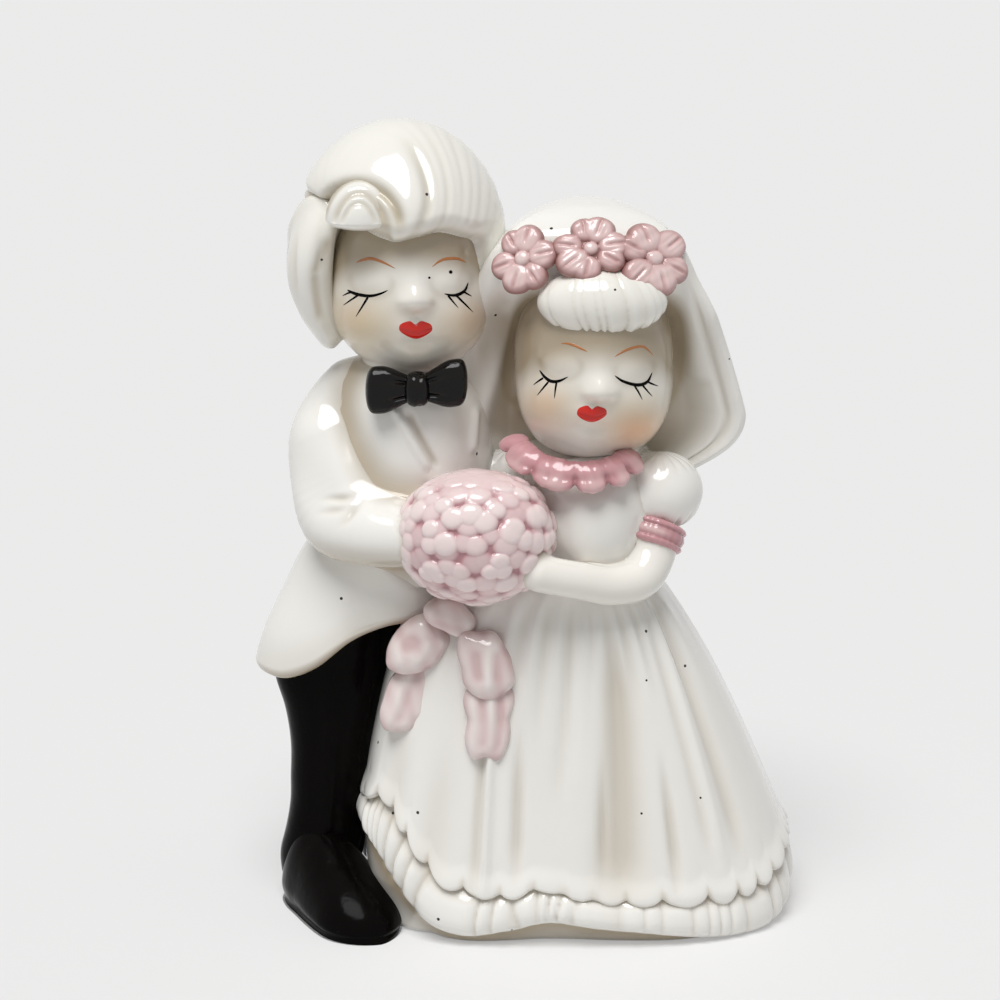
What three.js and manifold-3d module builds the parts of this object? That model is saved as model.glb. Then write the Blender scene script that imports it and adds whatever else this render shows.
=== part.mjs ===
// Wedding cake topper: a groom and a bride in glazed porcelain, cast hollow and luted together.
// Millimetres, +Z up. The couple faces -Y and the groom stands on the -X side. Z = 0 is the foot.
import * as THREE from "three";
import { mergeVertices } from "three/addons/utils/BufferGeometryUtils.js";
import Module from "manifold-3d";

const { PI, abs, cos, exp, max, min, sign, sin, sqrt } = Math;

// Driving dimensions

const overall = { width: 83.3, depth: 48.84, height: 120.48 }; // of the finished topper
const drawing = { width: 83.3, depth: 48.84, height: 120.48 }; // for which the sizes below are drawn

const fit = { gap: 0.3, merge: 1e-4, flat: 0.1 }; // clearance of pieces, vertex merging, facet tolerance
const cast = { wall: 3, floor: 3, ventDiameter: 8 }; // slip-cast shell of the skirt and its base
const place = { groomX: -18, brideX: 7.5 }; // centre lines of the two figures

const skirt = {
  waistZ: 54, hemZ: 7.5, waistHalf: 8.5, waistFront: 13, waistBack: 9,
  hemRight: 33.6, hemLeft: 34.8, hemBackLeft: 19, hemFront: 22.6, hemBack: 22.4,
  flareRight: 0.72, flareLeft: 0.22, flareDepth: 0.6, squareness: 2.5, squareLeft: 3.3,
  folds: 13, foldDepth: 0.9, scallops: 36, scallopDepth: 1.1, lip: 0.4,
  liftX: [-35, -31.4, -27, -22.5, -15, -8, 0], lift: [10.8, 13.2, 9, 3.8, 0.7, 0, 0],
};
// Dips that fan out over the front of the skirt: waist and hem are shares of the half width, start is a
// share of the height.
const dips = [
  { waist: 0.3, hem: 0.165, start: 0.12, depth: 1, width: 2.5 },
  { waist: 0.52, hem: 0.43, start: 0.58, depth: 0.7, width: 1.4 },
  { waist: -0.34, hem: -0.29, start: 0.45, depth: 0.7, width: 1.4 },
  { waist: -0.5, hem: -0.48, start: 0.3, depth: 0.7, width: 1.5 },
];
const frill = { out: 0.9, pleats: 48, pleatDepth: 0.4, tuck: 1.6, drop: 4.7, dropRight: 6.9 };
const base = { topZ: 24 };

const shoe = { length: 27, width: 12.4, height: 11, toeHeight: 5.4, heelX: -15.4, heelY: 3.4, turn: -30 };
const leg = { ankleZ: 6, topZ: 47, ankleHalf: 5.2, thighHalf: 6.8, depth: 1.12, x: -12.9, y: -1, lean: 1.9 };
const rearLeg = { x: -0.6, y: 6.2 };
const coat = {
  topZ: 60, hemLeftZ: 38, hemRightZ: 48, waistHalf: 9, hemLeft: 17.6, hemRight: 16,
  front: 11.2, back: 15.4, x: -5.4, flare: 0.9,
};
const jacket = {
  z: [87, 86, 84.4, 82, 79, 75, 70, 64, 58, 52], x: -0.4, squareness: 2.2,
  left: [2, 4.6, 7.2, 9, 9.8, 9.8, 9.6, 9.6, 9.8, 10.2],
  right: [2, 4.6, 7.4, 9.8, 11.4, 12.3, 12.7, 12.2, 11.4, 10.8],
  front: [4, 6.6, 8.8, 10.4, 11.5, 12.2, 12.7, 12.6, 11.8, 11],
  back: [3.4, 5.8, 7.8, 9.4, 10.6, 11.4, 11.6, 11.4, 11, 10.6],
};
const sleeve = {
  line: [
    [-6.4, -0.4, 83.4], [-10, -1.2, 78.8], [-13, -2.8, 73.6], [-13.4, -5.4, 67.4],
    [-11.3, -9, 61.9], [-6.2, -13, 61.5], [3.6, -16.4, 62.3],
  ],
  radii: [4.2, 4.6, 4.8, 4.8, 5.2, 5, 4.7],
  crook: [[-13.4, -3.6, 77.4], [-10, -7.8, 70], [-4.6, -12.4, 63.8]], crookRadius: 4.3,
};
const rearSleeve = { shoulderX: 9.5, shoulderZ: 77, elbowZ: 62.5, radius: 4.7 };

const groomHead = { x: 0.5, y: -2, z: 97.8, halfWidth: 11.7, halfDepth: 13, halfHeight: 14.2 };
const groomHair = {
  x: -1.9, y: 0.4, rise: 4.8, side: 15.7, depth: 15.8, height: 17.6, grooves: 5.2, grooveDepth: 0.5,
};
const curl = { ring: 3.1, tube: 2.3, x: -6.4, rise: 11.6, out: 13.6 };
const sideLock = {
  line: [
    [-12.8, -4.2, 106.5], [-13.8, -4.4, 102], [-13.9, -4.4, 97.5],
    [-12.9, -4.4, 93.2], [-11.6, -4.6, 89.6], [-10.4, -5, 87.2],
  ],
  radii: [3.1, 3.9, 3.8, 3.5, 2.9, 2],
};
const bowTie = { span: 14.8, height: 7, depth: 4, knot: 2.1, x: 1.3, y: -12.8, z: 82.6, tilt: 0.7 };

const brideHead = { x: 1.6, y: -5.5, z: 86.4, halfWidth: 11.9, halfDepth: 13, halfHeight: 14 };
const fringe = { halfWidth: 9.6, height: 5.6, depth: 5, rise: 8.4, out: 9.3, locks: 9, lockDepth: 0.35 };
const flower = { radius: 4.7, depth: 2.4, petals: 6, petalDepth: 0.16, heart: 1.2, wide: 1.1 };
const wreath = {
  left: { x: -8.9, y: -13.2, z: 101.5, out: [-0.34, -0.87, 0.36] },
  middle: { x: 0.5, y: -14.6, z: 103, out: [0, -0.88, 0.48] },
  right: { x: 9.3, y: -13.2, z: 101.5, out: [0.4, -0.83, 0.4] },
};
const veil = {
  z: [108.4, 108, 106.6, 103.8, 98, 88, 79, 75.8, 73, 70.7, 68, 66],
  left: [0, -3.9, -8.1, -11.9, -15.5, -16.5, -16.9, -16.9, -16.7, -16.5, -16.1, -15.5],
  right: [1.5, 5.1, 9.5, 13.7, 17.1, 20.9, 23.4, 23.7, 22.5, 19.7, 14.9, 11.5],
  back: [0.5, 5, 9, 12.2, 14.6, 15.6, 16, 16, 15.8, 15.4, 14.6, 13.6],
  front: [-3, -6.5, -9.6, -11.8, -10.6, -5.4, -3.8, -3.4, -3, -2.8, -2.6, -2.4],
  inner: [-3, -6.5, -9.6, -11.8, -9, -2, -0.8, -0.4, 0, 0.2, 0.4, 0.6],
  folds: 9, foldDepth: 0.9, squareness: 2.4, brow: 99, cheek: 91, bulge: 3.6, edge: 2.4,
};
const collar = {
  line: [
    [-10.4, -8.6, 74.6], [-9.6, -12, 73.4], [-6.3, -15.8, 71.6], [-1.5, -17.6, 70.8],
    [2.9, -16.9, 71], [6, -14.2, 71.9], [7.5, -11, 72.8],
  ],
  half: 2.1, thickness: 1.3, lobes: 6, lobeDepth: 0.3,
};
const bodice = { bottomZ: 50, topZ: 72, waistHalf: 9, chestHalf: 10.8, front: 14.6, back: 8.5, x: 1.2 };
const puff = { halfWidth: 6.2, halfDepth: 6.2, height: 5.7, x: 11.6, y: -7.4, z: 66.2 };
const rearPuff = { halfWidth: 4.6, halfDepth: 5, height: 5.2, x: -9.9, y: -2.5, z: 66.4 };
const arm = {
  line: [
    [11.3, -8.6, 63], [10.8, -10.6, 59.8], [10.2, -12, 56.6], [8.3, -14.4, 54],
    [4.5, -16.8, 53.6], [-1, -19, 55.2], [-9, -20.6, 57.2],
  ],
  radii: [3.6, 3.7, 3.5, 3.3, 3.1, 3.1, 3.1],
};
const band = { radius: 4.4, length: 3.6, x: 10.9, y: -10.2, z: 60.1, axis: [-0.3, -0.38, -0.87] };
const bouquet = {
  x: -15.6, y: -16.4, z: 61.6, halfWidth: 11.4, halfDepth: 8.6, height: 9.9, petals: 11, petalDepth: 0.55,
};
// Ribbons moulded on the skirt: half width, half length, half thickness, lean and notch at the end.
const ribbon = {
  slope: -10,
  knot: { x: -19.7, y: -15, z: 48.5, width: 3.7, length: 2.9, thickness: 2.7, lean: 25, notch: 0 },
  leftLoop: { x: -24.2, y: -13, z: 44.5, width: 4.6, length: 4.6, thickness: 2.6, lean: 0, notch: 0 },
  rightLoop: { x: -14, y: -17, z: 42.3, width: 4.1, length: 5.2, thickness: 2.3, lean: 0, notch: 0 },
  leftTail: { x: -25.5, y: -14.4, z: 36.2, width: 4.1, length: 5.4, thickness: 1.7, lean: 12, notch: 0.15 },
  rightTail: { x: -13.8, y: -19, z: 34, width: 3.5, length: 5.6, thickness: 1.7, lean: 0, notch: 0.15 },
};

// Small formulas

const wasm = await Module();
wasm.setup();
const vector = (x, y, z) => new THREE.Vector3(x, y, z);
const mix = (a, b, t) => a + (b - a) * t;
const step = (from, to, value) => {
  const t = min(1, max(0, (value - from) / (to - from)));
  return t * t * (3 - 2 * t);
};
const bump = (x, y, width) => exp(-(x * x + y * y) / (2 * width * width));
const places = (list) => list.map((p) => vector(...p));
// Straight runs between the given points of a curve.
function follow(keys, values, at) {
  let i = 0;
  while (i < keys.length - 2 && at > keys[i + 1]) i++;
  return mix(values[i], values[i + 1], min(1, max(0, (at - keys[i]) / (keys[i + 1] - keys[i]))));
}
const corner = (value, squareness) => sign(value) * abs(value) ** (2 / squareness); // superellipse

// Closed surfaces on a sphere's grid

// point(angle, along) gives each vertex. The angle turns anticlockwise seen from the first pole, and
// along runs from 0 at that pole to 1 at the other.
function surface(around, along, point) {
  const geometry = new THREE.SphereGeometry(1, around, along);
  geometry.deleteAttribute("normal");
  geometry.deleteAttribute("uv");
  const position = geometry.getAttribute("position");
  for (let row = 0; row <= along; row++) {
    for (let column = 0; column <= around; column++) {
      const angle = ((column % around) / around) * 2 * PI;
      const p = point(angle, row / along);
      position.setXYZ(row * (around + 1) + column, p.x, p.y, p.z);
    }
  }
  return mergeVertices(geometry, fit.merge);
}

// Rings stacked from the top, s = 0, to the bottom, s = 1, and closed by a flat fan at each end.
function stack(around, rows, ring, top, bottom) {
  return surface(around, rows + 2, (angle, along) => {
    const row = along * (rows + 2) - 1;
    if (row < -0.5) return top;
    if (row > rows + 0.5) return bottom;
    return ring(angle, row / rows);
  });
}

// An ellipsoid whose radius is changed by shape(direction, angle).
function blob(centre, radii, shape = () => 1, around = 16, along = 9) {
  return surface(around, along, (angle, v) => {
    const d = vector(cos(angle) * sin(PI * v), sin(angle) * sin(PI * v), cos(PI * v));
    const point = d.clone().multiply(radii).multiplyScalar(shape(d, angle));
    return point.add(centre);
  });
}

// A round-ended tube along a smooth curve, with a radius at each given point and a flattening ratio.
function limb(points, radii, { flat = 1, side = vector(0, 1, 0), around = 12, along = 12, ripple } = {}) {
  const curve = new THREE.CatmullRomCurve3(points);
  const length = curve.getLength();
  return surface(around, along, (angle, v) => {
    const s = (1 - cos(PI * v)) / 2;
    const at = s * (radii.length - 1);
    const from = min(radii.length - 2, Math.floor(at));
    const radius = mix(radii[from], radii[from + 1], at - from);
    const capped = max(0, 1 - (min(s, 1 - s) * length) / radius);
    const across = sqrt(max(0, 1 - capped * capped)) * radius * (ripple ? ripple(angle, s) : 1);
    const tangent = curve.getTangentAt(s);
    const normal = side.clone().cross(tangent).normalize();
    const binormal = normal.clone().cross(tangent).normalize();
    return curve
      .getPointAt(s)
      .addScaledVector(normal, across * cos(angle))
      .addScaledVector(binormal, across * flat * sin(angle));
  });
}

// Manifold solids

// Every face moves outwards by the amount: a vertex goes further where its faces meet at a sharp edge.
function inflate(geometry, amount) {
  const grown = geometry.clone();
  grown.computeVertexNormals();
  const { position, normal } = grown.attributes;
  const reach = new Float32Array(position.count).fill(1);
  const triangle = new THREE.Triangle();
  const face = vector(0, 0, 0);
  const own = vector(0, 0, 0);
  for (let i = 0; i < grown.index.count; i += 3) {
    const corners = [0, 1, 2].map((k) => grown.index.getX(i + k));
    triangle.setFromAttributeAndIndices(position, ...corners);
    triangle.getNormal(face);
    for (const c of corners) {
      reach[c] = min(reach[c], max(0.35, own.fromBufferAttribute(normal, c).dot(face)));
    }
  }
  const point = vector(0, 0, 0);
  for (let i = 0; i < position.count; i++) {
    point.fromBufferAttribute(position, i);
    point.addScaledVector(own.fromBufferAttribute(normal, i), amount / reach[i]);
    position.setXYZ(i, point.x, point.y, point.z);
  }
  return grown;
}

function toSolid(geometry) {
  const vertProperties = new Float32Array(geometry.getAttribute("position").array);
  const triVerts = new Uint32Array(geometry.index.array);
  return new wasm.Manifold(new wasm.Mesh({ numProp: 3, vertProperties, triVerts }));
}

function toGeometry(solid) {
  const mesh = solid.getMesh();
  const geometry = new THREE.BufferGeometry();
  geometry.setAttribute("position", new THREE.BufferAttribute(mesh.vertProperties, 3));
  geometry.setIndex(new THREE.BufferAttribute(mesh.triVerts, 1));
  geometry.computeVertexNormals();
  return geometry;
}

const largest = (solid) => solid.decompose().reduce((a, b) => (a.volume() > b.volume() ? a : b));

// Skirt, frill and base

// The ring is squarer at the front left, where the skirt lies flat before the groom's leg.
const skirtSquareness = (angle) =>
  mix(skirt.squareness, skirt.squareLeft, step(0.25, -0.35, cos(angle)) * step(0.1, -0.4, sin(angle)));

// A ring of the skirt at height share t, 0 at the waist and 1 at the hem, grown outwards by out.
function skirtRing(angle, t, out) {
  const c = corner(cos(angle), skirtSquareness(angle));
  const s = corner(sin(angle), skirtSquareness(angle));
  const hemLeft = mix(skirt.hemLeft, skirt.hemBackLeft, step(-0.1, 0.6, sin(angle)));
  const right = mix(skirt.waistHalf, skirt.hemRight, t ** skirt.flareRight);
  const left = mix(skirt.waistHalf, hemLeft, t ** skirt.flareLeft);
  const front = mix(skirt.waistFront, skirt.hemFront, t ** skirt.flareDepth);
  const back = mix(skirt.waistBack, skirt.hemBack, t ** skirt.flareDepth);
  const x = ((c > 0 ? right : left) + out) * c;
  const y = ((s > 0 ? back : front) + out) * s;
  return { x, y };
}

// The hem is drawn up where it passes the groom's leg.
const skirtLift = (angle) => follow(skirt.liftX, skirt.lift, skirtRing(angle, 1, 0).x);

// Broad dips at the front and even folds behind, deeper towards the hem.
function skirtFold(angle, t) {
  const c = corner(cos(angle), skirtSquareness(angle));
  const wide = c > 0 ? skirt.hemRight : skirt.hemLeft;
  const half = mix(skirt.waistHalf, wide, t ** (c > 0 ? skirt.flareRight : skirt.flareLeft));
  const front = dips.reduce((sum, dip) => {
    const away = (c - mix(dip.waist, dip.hem, t)) * half;
    return sum - dip.depth * bump(away, 0, dip.width) * step(dip.start, dip.start + 0.25, t);
  }, 0);
  const behind = skirt.foldDepth * t * sin(skirt.folds * angle);
  return mix(front, behind, step(-0.1, 0.35, sin(angle)));
}

const skirtHeight = skirt.waistZ - skirt.hemZ;

function skirtSurface(out, { draped = true, topZ = skirt.waistZ, bottomZ = skirt.hemZ } = {}) {
  const ring = (angle, s) => {
    const scallop = skirt.scallopDepth * abs(sin((skirt.scallops * angle) / 2));
    const hem = bottomZ + (draped ? skirtLift(angle) - scallop : 0);
    const z = mix(topZ, hem, s);
    const t = min(1, (skirt.waistZ - z) / skirtHeight);
    const relief = draped ? skirtFold(angle, t) + skirt.lip * step(0.9, 1, s) : 0;
    const { x, y } = skirtRing(angle, t, out + relief);
    return vector(x, y, z);
  };
  const middle = (z) => vector(0, -2, z);
  return stack(draped ? 72 : 32, draped ? 9 : 6, ring, middle(topZ), middle(bottomZ));
}

function skirtForm() {
  const inside = skirtSurface(-cast.wall, { draped: false, topZ: skirt.waistZ - cast.wall, bottomZ: 0 });
  return toSolid(skirtSurface(0)).subtract(toSolid(inside));
}

// The shell under the skirt: a cup with a vent hole in its floor, open towards the hollow skirt.
const inset = () => cast.wall + 2 * fit.gap;

function baseForm() {
  const outside = skirtSurface(-inset(), { draped: false, topZ: base.topZ, bottomZ: 0 });
  const topZ = base.topZ + cast.wall;
  const inside = skirtSurface(-inset() - cast.wall, { draped: false, topZ, bottomZ: cast.floor });
  const vent = new THREE.CylinderGeometry(cast.ventDiameter / 2, cast.ventDiameter / 2, 4 * cast.floor, 24);
  vent.rotateX(PI / 2);
  return toSolid(outside).subtract(toSolid(inside)).subtract(toSolid(plain(vent)));
}

function plain(geometry) {
  geometry.deleteAttribute("normal");
  geometry.deleteAttribute("uv");
  return mergeVertices(geometry, fit.merge);
}

function frillForm() {
  const topZ = skirt.hemZ + frill.tuck;
  const ring = (angle, s) => {
    const hang = step(0.25, 0.75, s) * (1 - 0.35 * step(0.75, 1, s));
    const pleat = frill.pleatDepth * s * cos(frill.pleats * angle);
    const { x, y } = skirtRing(angle, 1, mix(-frill.tuck, frill.out + pleat, hang));
    const drop = mix(frill.drop, frill.dropRight, step(8, 25, x));
    const z = mix(topZ, skirt.hemZ - drop, s);
    return vector(x, y, z + skirtLift(angle));
  };
  const drum = stack(96, 4, ring, vector(0, 0, topZ), vector(0, 0, skirt.hemZ - frill.drop));
  const core = skirtSurface(fit.gap - inset(), { draped: false, topZ: base.topZ, bottomZ: -base.topZ });
  return toSolid(drum).subtract(toSolid(core));
}

// Groom

const headCentre = (head) => vector(head.x, head.y, head.z);
const headRadii = (head) => vector(head.halfWidth, head.halfDepth, head.halfHeight);

// A round child-like face: full cheeks, button nose, closed lids, small mouth and chin. Its rings run
// from the nose to the back of the head.
function headForm(head) {
  return surface(24, 18, (angle, v) => {
    const rim = sin(PI * v);
    const d = vector(cos(angle) * rim, -cos(PI * v), sin(angle) * rim);
    const nose = 0.14 * bump(d.x, d.z + 0.1, 0.1);
    const lids = 0.05 * (bump(d.x - 0.5, d.z + 0.08, 0.17) + bump(d.x + 0.5, d.z + 0.08, 0.17));
    const cheeks = 0.05 * (bump(d.x - 0.55, d.z + 0.5, 0.25) + bump(d.x + 0.55, d.z + 0.5, 0.25));
    const mouth = 0.04 * bump(d.x, d.z + 0.45, 0.13);
    const chin = 0.04 * bump(d.x, d.z + 0.8, 0.15);
    const relief = 1 + (nose + lids + cheeks + mouth + chin) * step(0.05, 0.4, -d.y);
    return d.multiply(headRadii(head)).multiplyScalar(relief).add(headCentre(head));
  });
}

// Hair swept round the forelock: a cap round the skull that dips under the face.
function groomHairForm() {
  const centre = headCentre(groomHead).add(vector(groomHair.x, groomHair.y, groomHair.rise));
  const radii = vector(groomHair.side, groomHair.depth, groomHair.height);
  return blob(centre, radii, (d) => {
    const opening = step(0.05, 0.3, -d.y) * step(0.14, -0.02, d.z - 0.06 + 0.2 * d.x * d.x);
    const under = step(-0.62, -0.8, d.z);
    const fromCurl = sqrt((d.x + 0.32) ** 2 + (d.z - 0.45) ** 2);
    const groove = (groomHair.grooveDepth / groomHair.side) * cos(2 * PI * groomHair.grooves * fromCurl);
    return (1 + groove) * (1 - 0.34 * max(opening * step(-0.9, -0.6, d.x), under));
  }, 30, 18);
}

function curlForm() {
  const centre = headCentre(groomHead).add(vector(curl.x, -curl.out, curl.rise));
  const turn = [];
  for (let i = 0; i <= 8; i++) {
    const angle = PI * (0.95 - (1.5 * i) / 8);
    const ring = curl.ring * (1.25 - 0.05 * i);
    turn.push(vector(ring * cos(angle), 0.9 - 0.16 * i, ring * sin(angle)).add(centre));
  }
  return limb(turn, [curl.tube * 0.7, curl.tube, curl.tube, curl.tube * 0.6], { around: 10, along: 14 });
}

const sideLockForm = () => limb(places(sideLock.line), sideLock.radii, { around: 12, along: 12 });

function jacketForm() {
  const last = jacket.z.length - 1;
  const ring = (angle, s) => {
    const i = Math.round(s * last);
    const c = corner(cos(angle), jacket.squareness);
    const depth = sin(angle) > 0 ? jacket.back[i] : jacket.front[i];
    const half = c > 0 ? jacket.right[i] : jacket.left[i];
    return vector(jacket.x + half * c, depth * corner(sin(angle), jacket.squareness), jacket.z[i]);
  };
  const top = vector(jacket.x, -1, jacket.z[0] + 0.2);
  return stack(28, last, ring, top, vector(jacket.x, 0, jacket.z[last]));
}

// Coat skirts, cut away from low at the side and back to high at the front.
function coatForm() {
  const ring = (angle, s) => {
    const c = cos(angle);
    const wide = c > 0 ? coat.hemRight : coat.hemLeft;
    const half = mix(coat.waistHalf, wide, s ** coat.flare);
    const depth = (sin(angle) > 0 ? coat.back : coat.front) * mix(0.68, 1, s ** coat.flare);
    const hem = mix(coat.hemLeftZ, coat.hemRightZ, step(-0.3, 0.85, c * 0.8 - 0.5 * sin(angle)));
    return vector(coat.x + half * c, depth * sin(angle), mix(coat.topZ, hem, s));
  };
  const middle = (coat.hemLeftZ + coat.hemRightZ) / 2;
  return stack(28, 6, ring, vector(coat.x, 0, coat.topZ), vector(coat.x, 0, middle));
}

function legForm(x, y) {
  const ring = (angle, s) => {
    const half = mix(leg.thighHalf, leg.ankleHalf, step(0, 0.62, s));
    const lean = -leg.lean * s * s;
    const depth = half * leg.depth;
    return vector(x + lean + half * cos(angle), y + depth * sin(angle), mix(leg.topZ, leg.ankleZ, s));
  };
  return stack(18, 7, ring, vector(x, y, leg.topZ), vector(x - leg.lean, y, leg.ankleZ));
}

// A shoe from the heel to a round toe, flat under the sole.
function shoeForm(x, y, turn) {
  const heelShare = 0.22;
  const geometry = surface(18, 10, (angle, v) => {
    const d = vector(cos(angle) * sin(PI * v), sin(angle) * sin(PI * v), cos(PI * v));
    const along = (1 - d.y) / 2;
    const high = mix(shoe.height, shoe.toeHeight, step(heelShare, 0.8, along));
    const wide = (shoe.width / 2) * mix(0.84, 1, step(0, 0.6, along));
    return vector(d.x * wide, shoe.length * (heelShare - along), max(0, d.z) * high);
  });
  geometry.rotateZ(THREE.MathUtils.degToRad(-turn));
  return geometry.translate(x, y, 0);
}

// A bent sleeve, and the cloth that fills the crook of the elbow.
function sleeveForm() {
  const bent = limb(places(sleeve.line), sleeve.radii, { along: 14 });
  const crook = limb(places(sleeve.crook), sleeve.crook.map(() => sleeve.crookRadius), { along: 10 });
  return toSolid(bent).add(toSolid(crook));
}

// The arm that holds the bride from behind.
function rearSleeveForm() {
  const backY = bodice.back + rearSleeve.radius * 0.6;
  const points = [
    vector(rearSleeve.shoulderX, 4, rearSleeve.shoulderZ),
    vector(rearSleeve.shoulderX + 3, 8, mix(rearSleeve.shoulderZ, rearSleeve.elbowZ, 0.6)),
    vector(rearSleeve.shoulderX + 6.5, backY, rearSleeve.elbowZ),
    vector(place.brideX - place.groomX + 2, backY + 0.5, rearSleeve.elbowZ - 0.5),
  ];
  const radii = [1, 1, 0.95, 0.7].map((share) => rearSleeve.radius * share);
  return limb(points, radii);
}

const tieCentre = () => vector(bowTie.x, bowTie.y, bowTie.z);

const tieKnotForm = () => blob(tieCentre(), vector(bowTie.knot, bowTie.knot * 0.9, bowTie.knot * 1.15));

function tieWingForm(side) {
  const reach = bowTie.span / 2;
  return surface(16, 8, (angle, v) => {
    const along = (1 - cos(PI * v)) / 2;
    const round = sqrt(max(0, 1 - max(0, (along - 0.8) / 0.2) ** 2)) * sqrt(min(1, along / 0.06));
    const tall = (bowTie.height / 2) * mix(0.45, 1, step(0, 0.75, along)) * round;
    const deep = (bowTie.depth / 2) * mix(0.7, 1, along) * round;
    const x = side * along * reach;
    const z = side * tall * cos(angle) + bowTie.tilt * max(0, side) * along;
    return tieCentre().add(vector(x, deep * sin(angle), z));
  });
}

// Bride

// Fringe: a puffed roll over the brow, parted into upright locks.
function fringeForm() {
  const centre = headCentre(brideHead).add(vector(0.6, -fringe.out, fringe.rise));
  const radii = vector(fringe.halfWidth, fringe.depth, fringe.height);
  const locks = (d) => 1 + (fringe.lockDepth / fringe.depth) * cos(2 * fringe.locks * d.x);
  return blob(centre, radii, locks, 27, 8);
}

// A round-petalled flower with a ball at its heart, facing outwards along its axis.
function flowerForm(seat) {
  const geometry = surface(24, 8, (turn, v) => {
    const d = vector(cos(turn) * sin(PI * v), sin(turn) * sin(PI * v), cos(PI * v));
    const rim = sqrt(d.x * d.x + d.y * d.y);
    const petal = 1 + flower.petalDepth * (abs(cos((flower.petals * turn) / 2)) - 0.5) * rim * 2;
    const ball = (flower.heart / flower.depth) * exp(-((rim / 0.28) ** 2));
    const heart = ball - 0.25 * exp(-(((rim - 0.42) / 0.14) ** 2));
    const raise = d.z > 0 ? d.z + heart : d.z;
    const reach = flower.radius * petal;
    return vector(d.x * reach * flower.wide, d.y * reach, raise * flower.depth);
  });
  const out = vector(...seat.out).normalize();
  geometry.applyQuaternion(new THREE.Quaternion().setFromUnitVectors(vector(0, 0, 1), out));
  return geometry.translate(seat.x, seat.y, seat.z);
}

// Veil: rings through the stations. A dome over the crown, a shallow sheet between two edges beside the
// face, and even folds behind.
function veilForm() {
  const last = veil.z.length - 1;
  const ring = (angle, share) => {
    const i = Math.round(share * last);
    const [z, left, right] = [veil.z[i], veil.left[i], veil.right[i]];
    const [back, front, inner] = [veil.back[i], veil.front[i], veil.inner[i]];
    const c = corner(cos(angle), veil.squareness);
    const s = sin(angle);
    const low = step(veil.brow, veil.cheek, z);
    const dome = front + veil.edge - veil.bulge * sqrt(max(0, 1 - c * c));
    const sheet = mix(dome, mix(inner, front, step(0.6, 0.9, abs(c))), low);
    const fold = veil.foldDepth * sin(veil.folds * angle) * step(0.15, 0.6, s) * step(102, 80, z);
    const rear = mix(front, back + fold, corner(max(0, s), 2.2)) + veil.edge * (1 - s) * (1 - low);
    return vector((left + right) / 2 + ((right - left) / 2) * c, s > 0 ? rear : sheet, z);
  };
  const middleX = (i) => (veil.left[i] + veil.right[i]) / 2;
  const top = vector(middleX(0), (veil.front[0] + veil.back[0]) / 2, veil.z[0] + 0.1);
  const foot = vector(middleX(last), veil.back[last] / 2, veil.z[last]);
  return stack(36, last, ring, top, foot);
}

function bodiceForm() {
  const ring = (angle, s) => {
    const neck = mix(0.7, 1, sqrt(step(-0.05, 0.3, s)));
    const half = mix(bodice.chestHalf, bodice.waistHalf, step(0.3, 1, s)) * neck;
    const depth = (sin(angle) > 0 ? bodice.back : bodice.front) * mix(0.72, 1, step(-0.1, 0.35, s));
    return vector(bodice.x + half * cos(angle), depth * sin(angle) - 1, mix(bodice.topZ, bodice.bottomZ, s));
  };
  const top = vector(bodice.x, -3, bodice.topZ + 0.5);
  return stack(24, 7, ring, top, vector(bodice.x, -3, bodice.bottomZ));
}

// Ruffled collar: a flat lobed band that hangs in a bow under the chin.
function collarForm() {
  const ripple = (angle, s) => 1 + (collar.lobeDepth / collar.half) * cos(2 * PI * collar.lobes * s);
  const radii = collar.line.map(() => collar.half);
  const side = vector(0, -0.9, 0.4).normalize();
  return limb(places(collar.line), radii, { flat: collar.thickness / collar.half, side, along: 26, ripple });
}

function puffForm(p) {
  const gathers = (d, angle) => 1 + 0.05 * cos(7 * angle) * max(0, -d.z) * (1 - d.z * d.z);
  return blob(vector(p.x, p.y, p.z), vector(p.halfWidth, p.halfDepth, p.height), gathers);
}

function bandForm() {
  const middle = vector(band.x, band.y, band.z);
  const half = vector(...band.axis).normalize().multiplyScalar(band.length / 2 + band.radius * 0.25);
  const points = [middle.clone().sub(half), middle, middle.clone().add(half)];
  const radii = points.map(() => band.radius);
  return limb(points, radii, { side: vector(1, 0, 0), around: 16, along: 8 });
}

const armForm = () => limb(places(arm.line), arm.radii, { along: 14 });

const bouquetCentre = () => vector(bouquet.x, bouquet.y, bouquet.z);

// Bouquet: a dome packed with rows of rounded petals.
function bouquetForm() {
  const radii = vector(bouquet.halfWidth, bouquet.halfDepth, bouquet.height);
  const relief = bouquet.petalDepth / bouquet.halfWidth;
  return blob(bouquetCentre(), radii, (d, angle) => {
    const rows = Math.acos(max(-1, min(1, d.z))) / PI;
    const shift = Math.floor(rows * 8) % 2 ? PI : 0;
    const petals = abs(cos(bouquet.petals * angle + shift / 2)) * abs(sin(8 * PI * rows));
    return 1 + relief * (petals * 2 - 1) * sin(PI * rows);
  }, 33, 16);
}

function ribbonForm({ x, y, z, width, length, thickness, lean, notch }) {
  const cut = (d) => 1 - notch * bump(d.x, d.z + 1, 0.35);
  const geometry = blob(vector(0, 0, 0), vector(width, thickness, length), cut);
  geometry.rotateY(THREE.MathUtils.degToRad(lean));
  geometry.rotateX(THREE.MathUtils.degToRad(ribbon.slope));
  return geometry.translate(x, y, z);
}

// Finishes

const glaze = (color, roughness = 0.12) =>
  new THREE.MeshStandardMaterial({ color, roughness, metalness: 0 });
const white = glaze("#e9e6dc");
const skin = glaze("#ece5d8");
const hairWhite = glaze("#e8e5d6");
const black = glaze("#0b0909", 0.1);
const pink = glaze("#dfb3b6", 0.16);
const palePink = glaze("#e3c6c4", 0.16);

// Assembly: each piece is trimmed by those before it, so the order says which one stays whole

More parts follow.
